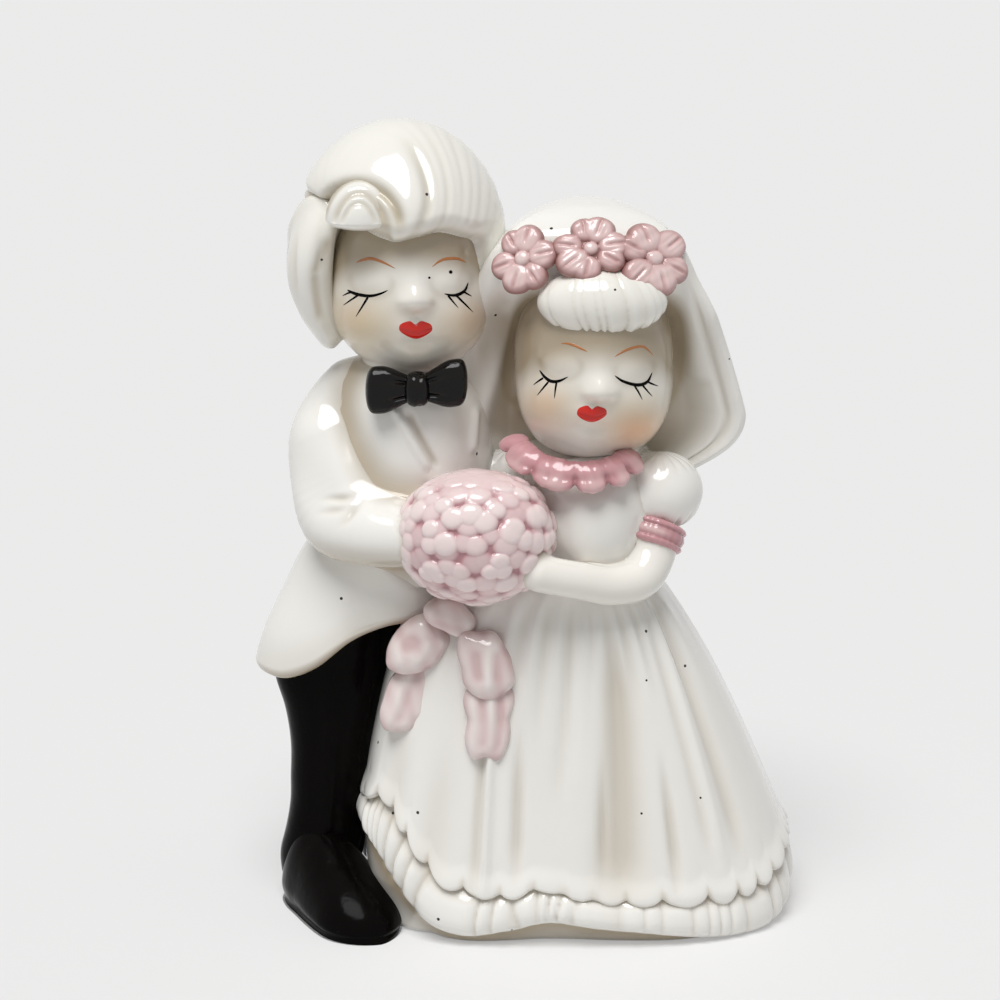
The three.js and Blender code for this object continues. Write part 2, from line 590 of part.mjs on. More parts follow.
const topper = new THREE.Group();
const groom = new THREE.Group();
const bride = new THREE.Group();
groom.position.x = place.groomX;
bride.position.x = place.brideX;
topper.add(groom, bride);
topper.scale.x = overall.width / drawing.width;
topper.scale.y = overall.depth / drawing.depth;
topper.scale.z = overall.height / drawing.height;
topper.updateMatrixWorld(true);

const pieces = [
  ["base_shell", bride, white, baseForm],
  ["skirt", bride, white, skirtForm],
  ["skirt_frill", bride, white, frillForm],
  ["groom_right_shoe", groom, black, () => shoeForm(shoe.heelX, shoe.heelY - shoe.length * 0.22, shoe.turn)],
  ["groom_left_shoe", groom, black, () => shoeForm(rearLeg.x, rearLeg.y + 1, 0)],
  ["groom_head", groom, skin, () => headForm(groomHead)],
  ["bride_head", bride, skin, () => headForm(brideHead)],
  ["bouquet", bride, pink, bouquetForm],
  ["jacket_tails", groom, white, coatForm],
  ["groom_right_leg", groom, black, () => legForm(leg.x, leg.y)],
  ["groom_left_leg", groom, black, () => legForm(rearLeg.x, rearLeg.y)],
  ["ribbon_knot", bride, palePink, () => ribbonForm(ribbon.knot)],
  ["ribbon_left_loop", bride, palePink, () => ribbonForm(ribbon.leftLoop)],
  ["ribbon_right_loop", bride, palePink, () => ribbonForm(ribbon.rightLoop)],
  ["ribbon_left_tail", bride, palePink, () => ribbonForm(ribbon.leftTail)],
  ["ribbon_right_tail", bride, palePink, () => ribbonForm(ribbon.rightTail)],
  ["jacket_right_sleeve", groom, white, sleeveForm],
  ["sleeve_band", bride, pink, bandForm],
  ["bride_left_arm", bride, skin, armForm],
  ["bow_tie_knot", groom, black, tieKnotForm],
  ["bow_tie_left_wing", groom, black, () => tieWingForm(-1)],
  ["bow_tie_right_wing", groom, black, () => tieWingForm(1)],
  ["collar_ruffle", bride, pink, collarForm],
  ["left_puff_sleeve", bride, white, () => puffForm(puff)],
  ["jacket_body", groom, white, jacketForm],
  ["bodice", bride, white, bodiceForm],
  ["right_puff_sleeve", bride, white, () => puffForm(rearPuff)],
  ["hair_curl", groom, hairWhite, curlForm],
  ["hair_side_lock", groom, hairWhite, sideLockForm],
  ["groom_hair", groom, hairWhite, groomHairForm],
  ["wreath_flower_middle", bride, pink, () => flowerForm(wreath.middle)],
  ["wreath_flower_left", bride, pink, () => flowerForm(wreath.left)],
  ["wreath_flower_right", bride, pink, () => flowerForm(wreath.right)],
  ["bride_fringe", bride, hairWhite, fringeForm],
  ["jacket_left_sleeve", groom, white, rearSleeveForm],
  ["veil", bride, white, veilForm],
];

const placed = [];
for (const [name, figure, material, form] of pieces) {
  const made = form();
  const shape = made.attributes ? made : toGeometry(made);
  const world = plain(shape.clone()).applyMatrix4(figure.matrixWorld);
  world.computeBoundingBox();
  const reach = world.boundingBox.clone().expandByScalar(fit.gap);
  let solid = toSolid(world);
  for (const earlier of placed) {
    if (earlier.reach.intersectsBox(reach)) solid = solid.subtract(earlier.cutter);
  }
  placed.push({ reach, cutter: toSolid(inflate(world, fit.gap)) });
  const trimmed = toGeometry(largest(solid.simplify(fit.flat)));
  trimmed.applyMatrix4(figure.matrixWorld.clone().invert());
  const mesh = new THREE.Mesh(trimmed, material);
  mesh.name = name;
  figure.add(mesh);
}

// The origin is under the middle of the whole topper
const bounds = new THREE.Box3().setFromObject(topper);
const middle = bounds.getCenter(vector(0, 0, 0));
topper.position.set(-middle.x, -middle.y, -bounds.min.z);

export default topper;
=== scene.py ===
from math import cos, pi, radians, sin

import bpy
import numpy as np
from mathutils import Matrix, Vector


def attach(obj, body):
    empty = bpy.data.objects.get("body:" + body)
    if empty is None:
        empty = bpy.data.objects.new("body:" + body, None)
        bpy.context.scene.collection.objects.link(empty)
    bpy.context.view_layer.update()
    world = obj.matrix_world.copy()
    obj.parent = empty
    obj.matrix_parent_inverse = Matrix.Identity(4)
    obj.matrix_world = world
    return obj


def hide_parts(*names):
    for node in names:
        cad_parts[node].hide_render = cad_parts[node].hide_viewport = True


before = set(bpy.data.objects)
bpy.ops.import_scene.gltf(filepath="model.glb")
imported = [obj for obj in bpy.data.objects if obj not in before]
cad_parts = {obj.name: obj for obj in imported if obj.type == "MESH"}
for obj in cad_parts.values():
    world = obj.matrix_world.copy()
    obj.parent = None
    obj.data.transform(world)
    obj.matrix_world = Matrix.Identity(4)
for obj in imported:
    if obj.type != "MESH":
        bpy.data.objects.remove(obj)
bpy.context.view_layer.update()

# Wedding cake topper in glazed porcelain. Lengths are millimetres here and become metres in the mesh.
# The groom figure stands on the -X side, the bride figure on the +X side, and both face -Y.
drawing = {"shift": np.array([-0.65, 0.72, 0.0]), "unit": 0.001}  # from these axes to the CAD's origin

print("frame loaded:", len(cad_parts), "nodes")


# Small formulas

def unitOf(v):  # a vector over its own length
    return v / np.maximum(np.linalg.norm(v, axis=-1, keepdims=True), 1e-9)


def between(first, last, value):  # 0 before first, 1 after last, straight between
    return np.clip((value - first) / (last - first), 0, 1)


def ease(start, end, value):  # 0 before start, 1 after end, with the cubic 3t^2 - 2t^3 between
    t = between(start, end, value)
    return t * t * (3 - 2 * t)


def domed(q, power=2):  # sqrt(1 - q^power): 1 in the middle, falling roundly to 0 at q = 1
    return np.sqrt(np.clip(1 - q ** power, 0, 1))


def bell(x, width):  # exp(-(x / width)^2)
    return np.exp(-(x / width) ** 2)


def mix(a, b, t):  # straight from a to b
    return a + (b - a) * t


def corner(value, power):  # superellipse: the sign kept, the size raised to 2 / power
    return np.sign(value) * np.abs(value) ** (2 / power)


def glide(keys, values, at):  # cubic Hermite curve through the values, slopes taken from the neighbours
    keys, values = np.asarray(keys, float), np.asarray(values, float)
    slopes = np.gradient(values, keys, axis=0)
    at = np.clip(at, keys[0], keys[-1])
    i = np.clip(np.searchsorted(keys, at, "right") - 1, 0, len(keys) - 2)
    h = keys[i + 1] - keys[i]
    t = (at - keys[i]) / h
    if values.ndim > 1:
        t, h = t[..., None], h[..., None]
    return ((1 + 2 * t) * (1 - t) ** 2 * values[i] + t * (1 - t) ** 2 * h * slopes[i]
            + t * t * (3 - 2 * t) * values[i + 1] + t * t * (t - 1) * h * slopes[i + 1])


def station(form, key, z):  # a form's value at a height, from its table
    order = np.argsort(form["z"])
    return glide(np.array(form["z"])[order], np.array(form[key])[order], z)


def wander(x, y, seed):  # a slow smooth unevenness from -1 to 1: three sines of unrelated periods
    return (np.sin(x * 1.0 + y * 0.37 + seed * 1.7) + np.sin(x * -0.61 + y * 1.13 + seed * 2.9)
            + np.sin(x * 0.43 - y * 0.79 + seed * 4.3)) / 3


def crest(x):  # rounded crests with a sharp valley at each whole number, 0 in the valley and 1 on top
    return np.abs(np.sin(pi * x)) ** 0.7


def lineRelief(x, z, line, width):  # bell of the distance to a straight line, eased off past its ends
    x0, z0, x1, z1 = line
    long = np.hypot(x1 - x0, z1 - z0)
    along = ((x - x0) * (x1 - x0) + (z - z0) * (z1 - z0)) / long
    across = ((x - x0) * (z1 - z0) - (z - z0) * (x1 - x0)) / long
    return bell(across, width) * ease(-1.0, 0.8, along) * (1 - ease(long - 0.8, long + 1.0, along))


# Grids: rows run from one pole to the other, columns run round

def ballGrid(rows, cols, pole="up"):  # unit directions, first pole on top or towards the viewer
    along, around = np.meshgrid(np.linspace(0, pi, rows + 1), np.linspace(0, 2 * pi, cols, endpoint=False),
                                indexing="ij")
    side, rise, first = np.sin(along) * np.cos(around), np.sin(along) * np.sin(around), np.cos(along)
    if pole == "up":
        return np.stack([side, rise, first], -1)
    return np.stack([side, -first, rise], -1)


def ringGrid(rows, cols):  # angle round and share along, 0 to 1
    along, around = np.meshgrid(np.linspace(0, 1, rows + 1), np.linspace(0, 2 * pi, cols, endpoint=False),
                                indexing="ij")
    return around, along


def lengthShares(points):  # a broken line's whole length, and how far along it each point lies, 0 to 1
    steps = np.linalg.norm(np.diff(points, axis=0), axis=1)
    return steps.sum(), np.concatenate([[0], np.cumsum(steps)]) / steps.sum()


def limbGrid(points, radii, rows, cols, flat=1.0, face=(0, -1, 0)):
    # A tube with round ends: the centre line glides through the points, the radius through the radii,
    # and each ring is an ellipse square to the line, flat times as thick towards the face direction.
    points = np.asarray(points, float)
    length, keys = lengthShares(points)
    share = (1 - np.cos(np.linspace(0, pi, rows + 1))) / 2
    line, radius = glide(keys, points, share), glide(keys, radii, share)
    tangent = unitOf(np.gradient(line, axis=0))
    short = np.clip(1 - np.minimum(share, 1 - share) * length / radius, 0, 1)
    across = np.sqrt(1 - short ** 2) * radius
    side = unitOf(np.cross(tangent, np.asarray(face, float)))
    out = np.cross(side, tangent)
    angle = np.linspace(0, 2 * pi, cols, endpoint=False)
    ring = np.cos(angle)[None, :, None] * side[:, None] + flat * np.sin(angle)[None, :, None] * out[:, None]
    return line[:, None] + across[:, None, None] * ring


def normalsOf(points):  # cross product of the two grid directions, turned to point out of each ring
    around = np.roll(points, -1, 1) - np.roll(points, 1, 1)
    along = np.gradient(points, axis=0)
    normal = unitOf(np.cross(around, along))
    normal[0], normal[-1] = unitOf(normal[1].mean(0)), unitOf(normal[-2].mean(0))
    outward = ((points - points.mean(1, keepdims=True)) * normal).sum()
    return normal * np.sign(outward)


def raised(points, amount):  # every point moved along its normal
    return points + normalsOf(points) * np.asarray(amount)[..., None]


# How far a point is from a neighbour's plain form, for the fillets of slip between luted pieces

def ballGap(centre, radii):  # ellipsoid: k0 (k0 - 1) / k1, close to the true distance near the surface
    centre, radii = np.asarray(centre, float), np.asarray(radii, float)

    def gap(p):
        q = (p - centre) / radii
        k0 = np.linalg.norm(q, axis=-1)
        return k0 * (k0 - 1) / np.maximum(np.linalg.norm(q / radii, axis=-1), 1e-9)
    return gap


def ringGap(x, y, half, deep, power):  # radial distance to a level superellipse ring
    q = (np.abs(x / half) ** power + np.abs(y / deep) ** power) ** (1 / power)
    return np.hypot(x, y) * (1 - 1 / np.maximum(q, 1e-3))


def limbGap(points, radii, samples=25):  # distance to a round-ended tube's centre line, less the radius there
    points = np.asarray(points, float)
    length, keys = lengthShares(points)
    share = np.linspace(radii[0] / length, 1 - radii[-1] / length, samples)
    line, radius = glide(keys, points, share), glide(keys, radii, share)
    start, run = line[:-1], np.diff(line, axis=0)
    size = (run ** 2).sum(-1)

    def gap(p):
        away = p[..., None, :] - start
        t = np.clip((away * run).sum(-1) / size, 0, 1)
        return (np.linalg.norm(away - t[..., None] * run, axis=-1) - mix(radius[:-1], radius[1:], t)).min(-1)
    return gap


def fillet(points, reach, *gaps):
    # Swells a piece towards its neighbours: by (sqrt(k) - sqrt(b))^2 at a distance b below the reach k,
    # which meets the neighbour's own swelling tangentially where the two forms cross.
    b = np.minimum.reduce([gap(points) for gap in gaps])
    near = np.where(b > reach / 4, (np.sqrt(reach) - np.sqrt(np.clip(b, 0, reach))) ** 2, reach / 2 - b)
    return raised(points, np.clip(near, 0, 0.6 * reach) * ease(-1.6 * reach, -0.4 * reach, b))


def softMin(a, b, reach):  # the lesser of two distances, rounded over the reach where they cross
    h = np.clip(0.5 + 0.5 * (b - a) / reach, 0, 1)
    return mix(b, a, h) - reach * h * (1 - h)


def luted(points, reach, own, *others):
    # Slip between two joined pieces: points close to a neighbour move to the zero of the rounded least of all
    # the distances, by Newton steps along its slope, so both pieces share one smooth fillet.
    near = np.minimum.reduce([other(points) for other in others])
    share = ease(2.0 * reach, reach, near) * ease(-0.7 * reach, -0.1 * reach, near)
    picked = share > 0
    p, weight = points[picked], share[picked][:, None]

    def field(q):
        value = own(q)
        for other in others:
            value = softMin(value, other(q), reach)
        return value
    step, rounds, start = 0.02, 5, p
    for _ in range(rounds):
        value = field(p)
        slope = np.stack([(field(p + step * axis) - value) / step for axis in np.eye(3)], -1)
        p = p - value[:, None] * slope / np.maximum((slope ** 2).sum(-1, keepdims=True), 0.3)
    moved = points.copy()
    moved[picked] = start + (p - start) * weight
    return moved


def castOut(heart, gap, rows, cols, steps=60, stride=0.8):
    # A closed skin round an inner point: every ray walks out by most of the distance left to the surface.
    d = ballGrid(rows, cols, "up")
    far = np.zeros(d.shape[:2])
    for _ in range(steps):
        far = far - stride * gap(heart + d * far[..., None])
    return heart + d * far[..., None]


# Meshes

def meshArrays(points):
    # One closed skin from a grid: the end rows shrink to a point each, and the columns join up.
    rows, cols = points.shape[0], points.shape[1]
    verts = np.concatenate([points[:1].mean(1), points[1:-1].reshape(-1, 3), points[-1:].mean(1)])
    first = 1 + np.arange(rows - 3)[:, None] * cols
    here, nextCol = np.arange(cols), (np.arange(cols) + 1) % cols
    below = first + cols
    quads = np.stack([first + here, first + nextCol, below + nextCol, below + here], -1).reshape(-1, 4)
    last = 1 + (rows - 3) * cols
    caps = np.concatenate([np.stack([np.zeros(cols, int), 1 + nextCol, 1 + here], -1),
                           np.stack([np.full(cols, len(verts) - 1), last + here, last + nextCol], -1)])
    a, b, c, d = (verts[quads[:, k]] for k in range(4))
    volume = (a * (np.cross(b, c) + np.cross(c, d))).sum()
    if volume < 0:  # inside out
        quads, caps = quads[:, ::-1], caps[:, ::-1]
    return verts, quads, caps


def addPiece(name, grids, material, **tints):
    # grids is one grid or several shells of one piece; each tint is a share from 0 to 1 for every grid point.
    # The piece stands for the CAD node of its name, if there is one, and takes the given finish.
    several = isinstance(grids, list)
    parts, start = [], 0
    for points in grids if several else [grids]:
        verts, quads, caps = meshArrays(points)
        parts.append((verts, quads + start, caps + start))
        start += len(verts)
    verts, quads, caps = (np.concatenate([part[k] for part in parts]) for k in range(3))
    mesh = bpy.data.meshes.new(name)
    mesh.vertices.add(len(verts))
    mesh.vertices.foreach_set("co", ((verts + drawing["shift"]) * drawing["unit"]).astype(np.float32).ravel())
    mesh.loops.add(quads.size + caps.size)
    mesh.loops.foreach_set("vertex_index", np.concatenate([quads.ravel(), caps.ravel()]).astype(np.int32))
    mesh.polygons.add(len(quads) + len(caps))
    mesh.polygons.foreach_set("loop_start", np.concatenate(
        [np.arange(len(quads)) * 4, quads.size + np.arange(len(caps)) * 3]).astype(np.int32))
    mesh.polygons.foreach_set("use_smooth", np.ones(len(quads) + len(caps), bool))
    mesh.update()
    mesh.validate()
    for tint, values in tints.items():
        flat = [np.concatenate([v[:1].mean(1), v[1:-1].ravel(), v[-1:].mean(1)])
                for v in (values if several else [values])]
        shade = np.clip(np.concatenate(flat), 0, 1).astype(np.float32)
        mesh.attributes.new(tint, "FLOAT", "POINT").data.foreach_set("value", shade)
    piece = bpy.data.objects.new(name, mesh)
    bpy.context.scene.collection.objects.link(piece)
    mesh.materials.append(material)
    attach(piece, "root")
    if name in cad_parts:
        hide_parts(name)


# Finishes

def linear(colour):  # sRGB hex to linear RGBA
    c = np.array([int(colour[i:i + 2], 16) for i in (1, 3, 5)]) / 255
    c = np.where(c <= 0.04045, c / 12.92, ((c + 0.055) / 1.055) ** 2.4)
    return (*c, 1.0)


def addNode(tree, kind, links=None, **settings):
    # One node: settings name its properties or inputs, links name what feeds its inputs.
    node = tree.nodes.new(kind)
    for key, value in settings.items():
        if key in node.bl_rna.properties:
            setattr(node, key, value)
        else:
            node.inputs[int(key[1:]) if key[1:].isdigit() else key.replace("_", " ")].default_value = value
    for key, source in (links or {}).items():
        tree.links.new(source, node.inputs[key])
    return node


# What all the finishes have in common unless they say otherwise; lengths are mm on the real surface.
glazeBasics = {
    "ior": 1.52, "roughness": 0.12, "shine": 0.4, "coat": 0.3, "coatRoughness": 0.03, "dentMm": 0.4,
    "speckMm": 0, "speckSize": 0.24, "speck": "#2A211B", "tints": {},
}


def addGlaze(name, look):
    # Fired glaze over white porcelain: a clear glassy skin, a body colour that shifts a little over the
    # surface, a warmer tint where the glaze pools in hollows that also serves as painted shade, a paler tint
    # on crowns as painted highlight, and here and there a black kiln speck.
    look = {**glazeBasics, **look}
    material = bpy.data.materials.new(name)
    material.use_nodes = True
    tree = material.node_tree
    shader = tree.nodes["Principled BSDF"]
    for socket, key in (("Roughness", "roughness"), ("IOR", "ior"), ("Specular IOR Level", "shine"),
                        ("Coat Weight", "coat"), ("Coat Roughness", "coatRoughness")):
        shader.inputs[socket].default_value = look[key]
    where = addNode(tree, "ShaderNodeTexCoord").outputs["Object"]
    cloud = addNode(tree, "ShaderNodeTexNoise", {"Vector": where}, Scale=1000 / look["cloudMm"], Detail=3.0)
    colour = addNode(tree, "ShaderNodeMix", {"Factor": cloud.outputs["Fac"]}, data_type="RGBA",
                     _6=linear(look["body"]), _7=linear(look["shift"])).outputs[2]
    # tints by attribute: hollow is pooled glaze and painted shade, crown is painted highlight
    for tint, tone in look["tints"].items():
        amount = addNode(tree, "ShaderNodeAttribute", attribute_name=tint).outputs["Fac"]
        colour = addNode(tree, "ShaderNodeMix", {"Factor": amount, 6: colour}, data_type="RGBA",
                         _7=linear(tone)).outputs[2]
    if look["speckMm"]:
        cell = addNode(tree, "ShaderNodeTexVoronoi", {"Vector": where}, Scale=1000 / look["speckMm"])
        close = addNode(tree, "ShaderNodeMath", {0: cell.outputs["Distance"]}, operation="LESS_THAN",
                        _1=look["speckSize"] / look["speckMm"])
        colour = addNode(tree, "ShaderNodeMix", {"Factor": close.outputs[0], 6: colour}, data_type="RGBA",
                         _7=linear(look["speck"])).outputs[2]
    tree.links.new(colour, shader.inputs["Base Color"])
    wave = addNode(tree, "ShaderNodeTexNoise", {"Vector": where}, Scale=1000 / look["waveMm"], Detail=2.0)
    dent = addNode(tree, "ShaderNodeBump", {"Height": wave.outputs["Fac"]}, Strength=look["wave"],
                   Distance=look["dentMm"] / 1000)
    tree.links.new(dent.outputs["Normal"], shader.inputs["Normal"])
    return material


# milky white body under clear glaze, brown ivory where it pools and as painted shade in creases and recesses
whiteGlaze = addGlaze("glazed porcelain white", {
    "body": "#F2F1ED", "shift": "#EEECE6", "cloudMm": 16, "waveMm": 5, "wave": 0.12, "speckMm": 5.4,
    "tints": {"hollow": "#B3A48C"}})
# a shade creamier white, rubbed with tan and orange on the cheeks, with painted shade round the features and
# under the hair
fleshGlaze = addGlaze("glazed porcelain flesh", {
    "body": "#F1EFE9", "shift": "#EDE9E1", "cloudMm": 12, "waveMm": 6, "wave": 0.08,
    "tints": {"hollow": "#A99A82", "tan": "#D6C3A0", "blush": "#DDA478"}})
# white hair whose grooves hold a thicker, yellower glaze, tinted there and under the rim as painted shade
hairGlaze = addGlaze("glazed porcelain hair", {
    "body": "#F2F1EC", "shift": "#EEECE3", "cloudMm": 10, "waveMm": 4, "wave": 0.1, "speckMm": 6.0,
    "tints": {"hollow": "#AC9C7E"}})
# deep black, brushed on thickly, with small sharp glints; the white body shows where the paint stops
blackEnamel = addGlaze("overglaze enamel black", {
    "body": "#050404", "shift": "#0A0807", "cloudMm": 6, "roughness": 0.16, "coat": 0.0, "shine": 0.04,
    "waveMm": 2.5, "wave": 0.22, "tints": {"bare": "#DED9CC"}})
# the same black laid on thicker, wet looking
tieEnamel = addGlaze("overglaze enamel black, thick", {
    "body": "#060505", "shift": "#0B0908", "cloudMm": 4, "roughness": 0.08, "coat": 0.0, "shine": 0.2,
    "waveMm": 1.6, "wave": 0.3})
# rose in the hollows, partly as painted shade, and pale pink and white on the crowns as painted highlight
pinkEnamel = addGlaze("overglaze enamel pink", {
    "body": "#DDB9BC", "shift": "#D6AEB2", "cloudMm": 3, "roughness": 0.16, "waveMm": 2, "wave": 0.2,
    "tints": {"hollow": "#AC767D", "crown": "#F0E1DF"}})
# the wreath's thinner pink, browned in every crease by glaze and by painted shade, paler on crowns as painted
# highlight
dustyEnamel = addGlaze("overglaze enamel dusty pink", {
    "body": "#DCB8B7", "shift": "#D2AAA9", "cloudMm": 3, "roughness": 0.16, "waveMm": 2, "wave": 0.2,
    "tints": {"hollow": "#9C716C", "crown": "#EBDAD7"}})
# the stronger pink of the collar and the sleeve band, darker in hollows as painted shade, paler on crowns as
# painted highlight
roseEnamel = addGlaze("overglaze enamel rose", {
    "body": "#CD9BA0", "shift": "#C38D93", "cloudMm": 3, "roughness": 0.15, "waveMm": 2, "wave": 0.15,
    "tints": {"hollow": "#8C575A", "crown": "#E2C6C4"}})
# a thin mauve wash, darker in hollows as painted shade, with white ridges as painted highlight
paleEnamel = addGlaze("overglaze enamel pale pink", {
    "body": "#E0CAC8", "shift": "#D9BEBE", "cloudMm": 4, "roughness": 0.15, "waveMm": 3, "wave": 0.12,
    "tints": {"hollow": "#B48A8C", "crown": "#EFE7E3"}})
# thick bright red of the lips
redEnamel = addGlaze("overglaze enamel red", {
    "body": "#D8200F", "shift": "#C8190C", "cloudMm": 1.5, "roughness": 0.2, "shine": 0.3, "waveMm": 1,
    "wave": 0.1})
# thin orange brown brush line of the brows
brownEnamel = addGlaze("overglaze enamel brown", {
    "body": "#B8773F", "shift": "#A8632C", "cloudMm": 1, "roughness": 0.25, "shine": 0.5, "waveMm": 1,
    "wave": 0.05})

print("finishes made")


# Skirt with gathers at the waist and a scalloped hem

skirt = {
    "x": 7.5, "waistZ": 54.0, "hemZ": 7.5, "waistHalf": 8.5, "waistFront": 13.0, "waistBack": 9.0,
    "hemRight": 33.4, "hemLeft": 34.8, "hemBackLeft": 19.0, "hemFront": 22.6, "hemBack": 22.4,
    "flareRight": 0.72, "flareLeft": 0.22, "flareDepth": 0.6, "square": 2.5, "squareLeft": 3.3,
    "rows": 160, "cols": 520, "turn": 0.86,  # the last rows turn under the hem
    "scallops": 38, "scallopDepth": 1.7, "lip": 0.45, "fluting": 0.25, "hemRoll": 0.7, "hemDrop": 0.6,
    "rearFold": 0.9, "gathers": 6.5, "gatherDepth": 0.36, "scallopUp": 0.9, "insideX": -2.0, "insideUp": 9.0,
    "insideDome": 3.0, "gapHalf": 30.0, "gapDeep": 20.0,
    "foldShade": 0.42, "foldMost": 0.5, "notchShade": 0.35, "hemShade": 0.5,  # how strongly glaze pools and shade is painted
    "liftX": [-35.0, -31.4, -27.0, -22.5, -15.0, -10.5, -6.3, -1.5, 4.0, 12.0, 25.0, 30.0, 34.0],
    "lift": [10.8, 13.2, 9.0, 3.8, 0.9, 0.6, 1.7, 0.5, -0.3, -0.4, 0.1, 1.2, 3.8],
    # a fold: place at the waist and at the hem as a share of the half width, first and last height share,
    # depth and width in mm; a valley is a dip, a step has a crest on its right and a dip on its left
    "valleys": [(0.30, 0.165, 0.12, 1.06, 1.3, 3.2), (0.14, 0.09, 0.55, 1.0, 0.7, 0.75),
                (0.52, 0.43, 0.55, 1.04, 0.9, 0.8), (-0.32, -0.28, 0.45, 1.0, 0.9, 0.85),
                (0.80, 0.76, 0.05, 0.95, 0.7, 1.2), (-0.62, -0.66, 0.5, 1.05, 0.4, 2.4),
                (-0.85, -0.86, 0.4, 1.04, 0.4, 2.0)],
    "steps": [(-0.46, -0.44, 0.3, 1.06, 1.1, 0.9), (0.68, 0.64, 0.1, 0.95, 0.6, 1.2),
              (-0.02, -0.1, 0.1, 0.75, 0.4, 1.8)],
}


def skirtAxes(z):  # the five half axes of a level ring, widening from the waist to the hem
    s = skirt
    t = between(s["waistZ"], s["hemZ"], z)
    right = mix(s["waistHalf"], s["hemRight"], t ** s["flareRight"])
    left = mix(s["waistHalf"], s["hemLeft"], t ** s["flareLeft"])
    backLeft = mix(s["waistHalf"], s["hemBackLeft"], t ** s["flareLeft"])
    front = mix(s["waistFront"], s["hemFront"], t ** s["flareDepth"])
    back = mix(s["waistBack"], s["hemBack"], t ** s["flareDepth"])
    return right, left, backLeft, front, back


def skirtSquare(x, y):  # the ring is squarer at its front left, where the skirt lies flat before the leg
    return mix(skirt["square"], skirt["squareLeft"], ease(0.25, -0.35, x) * ease(0.1, -0.4, y))


def skirtRing(angle, z, out=0.0):
    # A superellipse ring at height z: each half axis times the cosine or sine to the power 2 / squareness.
    right, left, backLeft, front, back = skirtAxes(z)
    square = skirtSquare(np.cos(angle), np.sin(angle))
    c, d = corner(np.cos(angle), square), corner(np.sin(angle), square)
    left = mix(left, backLeft, ease(-0.1, 0.6, np.sin(angle)))
    x = skirt["x"] + (np.where(c > 0, right, left) + out) * c
    y = (np.where(d > 0, back, front) + out) * d
    return np.stack([x, y, np.broadcast_to(z, x.shape)], -1)


def skirtLift(angle):  # the hem's rise along x, most where it passes the groom figure's leg
    x = skirtRing(angle, skirt["hemZ"])[..., 0] - skirt["x"]
    return glide(skirt["liftX"], skirt["lift"], x)


def hemRing(steps=2000):  # the plain hem, finely cut
    fine = np.linspace(0, 2 * pi, steps + 1)
    return fine, skirtRing(fine, skirt["hemZ"])


def hemShare(angle):  # how far round the hem an angle is, by arc length, from 0 to 1
    fine, ring = hemRing()
    return np.interp(angle, fine, lengthShares(ring)[1])


def skirtGap(p):  # radial distance to the plain skirt
    x, y, z = p[..., 0] - skirt["x"], p[..., 1], p[..., 2]
    right, left, backLeft, front, back = skirtAxes(z)
    square = skirtSquare(x / skirt["gapHalf"], y / skirt["gapDeep"])
    wide = np.where(x > 0, right, np.where(y > 0, backLeft, left))
    return ringGap(x, y, wide, np.where(y > 0, back, front), square)


def skirtFolds(c, t, half):
    # Dips and steps that fan out from the waist, plus fine gathers that die away below it.
    depth = np.zeros(np.broadcast(c, t).shape)
    for top, foot, first, last, deep, width in skirt["valleys"]:
        x = (c - mix(top, foot, t)) * half
        depth -= (deep * bell(x, width * (0.5 + 0.6 * t)) * ease(first - 0.05, first + 0.25, t)
                  * (1 - ease(last - 0.2, last, t)))
    for top, foot, first, last, deep, width in skirt["steps"]:
        x = (c - mix(top, foot, t)) * half / (width * (0.6 + 0.5 * t))
        depth += (deep * 1.6 * x * np.exp(-x * x) * ease(first - 0.05, first + 0.2, t)
                  * (1 - ease(last - 0.2, last, t)))
    count = skirt["gathers"] * c
    gather = np.cos(2 * pi * (count + 0.5 * wander(c * 7, t * 1.5, 1))) - 0.1 * np.cos(4 * pi * count)
    gather = skirt["gatherDepth"] * gather * (0.7 + 0.5 * wander(c * 11, 0 * t, 2))
    reach = 0.46 + 0.16 * wander(c * 14, 0 * t, 2)
    return depth + gather * ease(0.02, 0.14, t) * (1 - ease(0.14, reach, t))


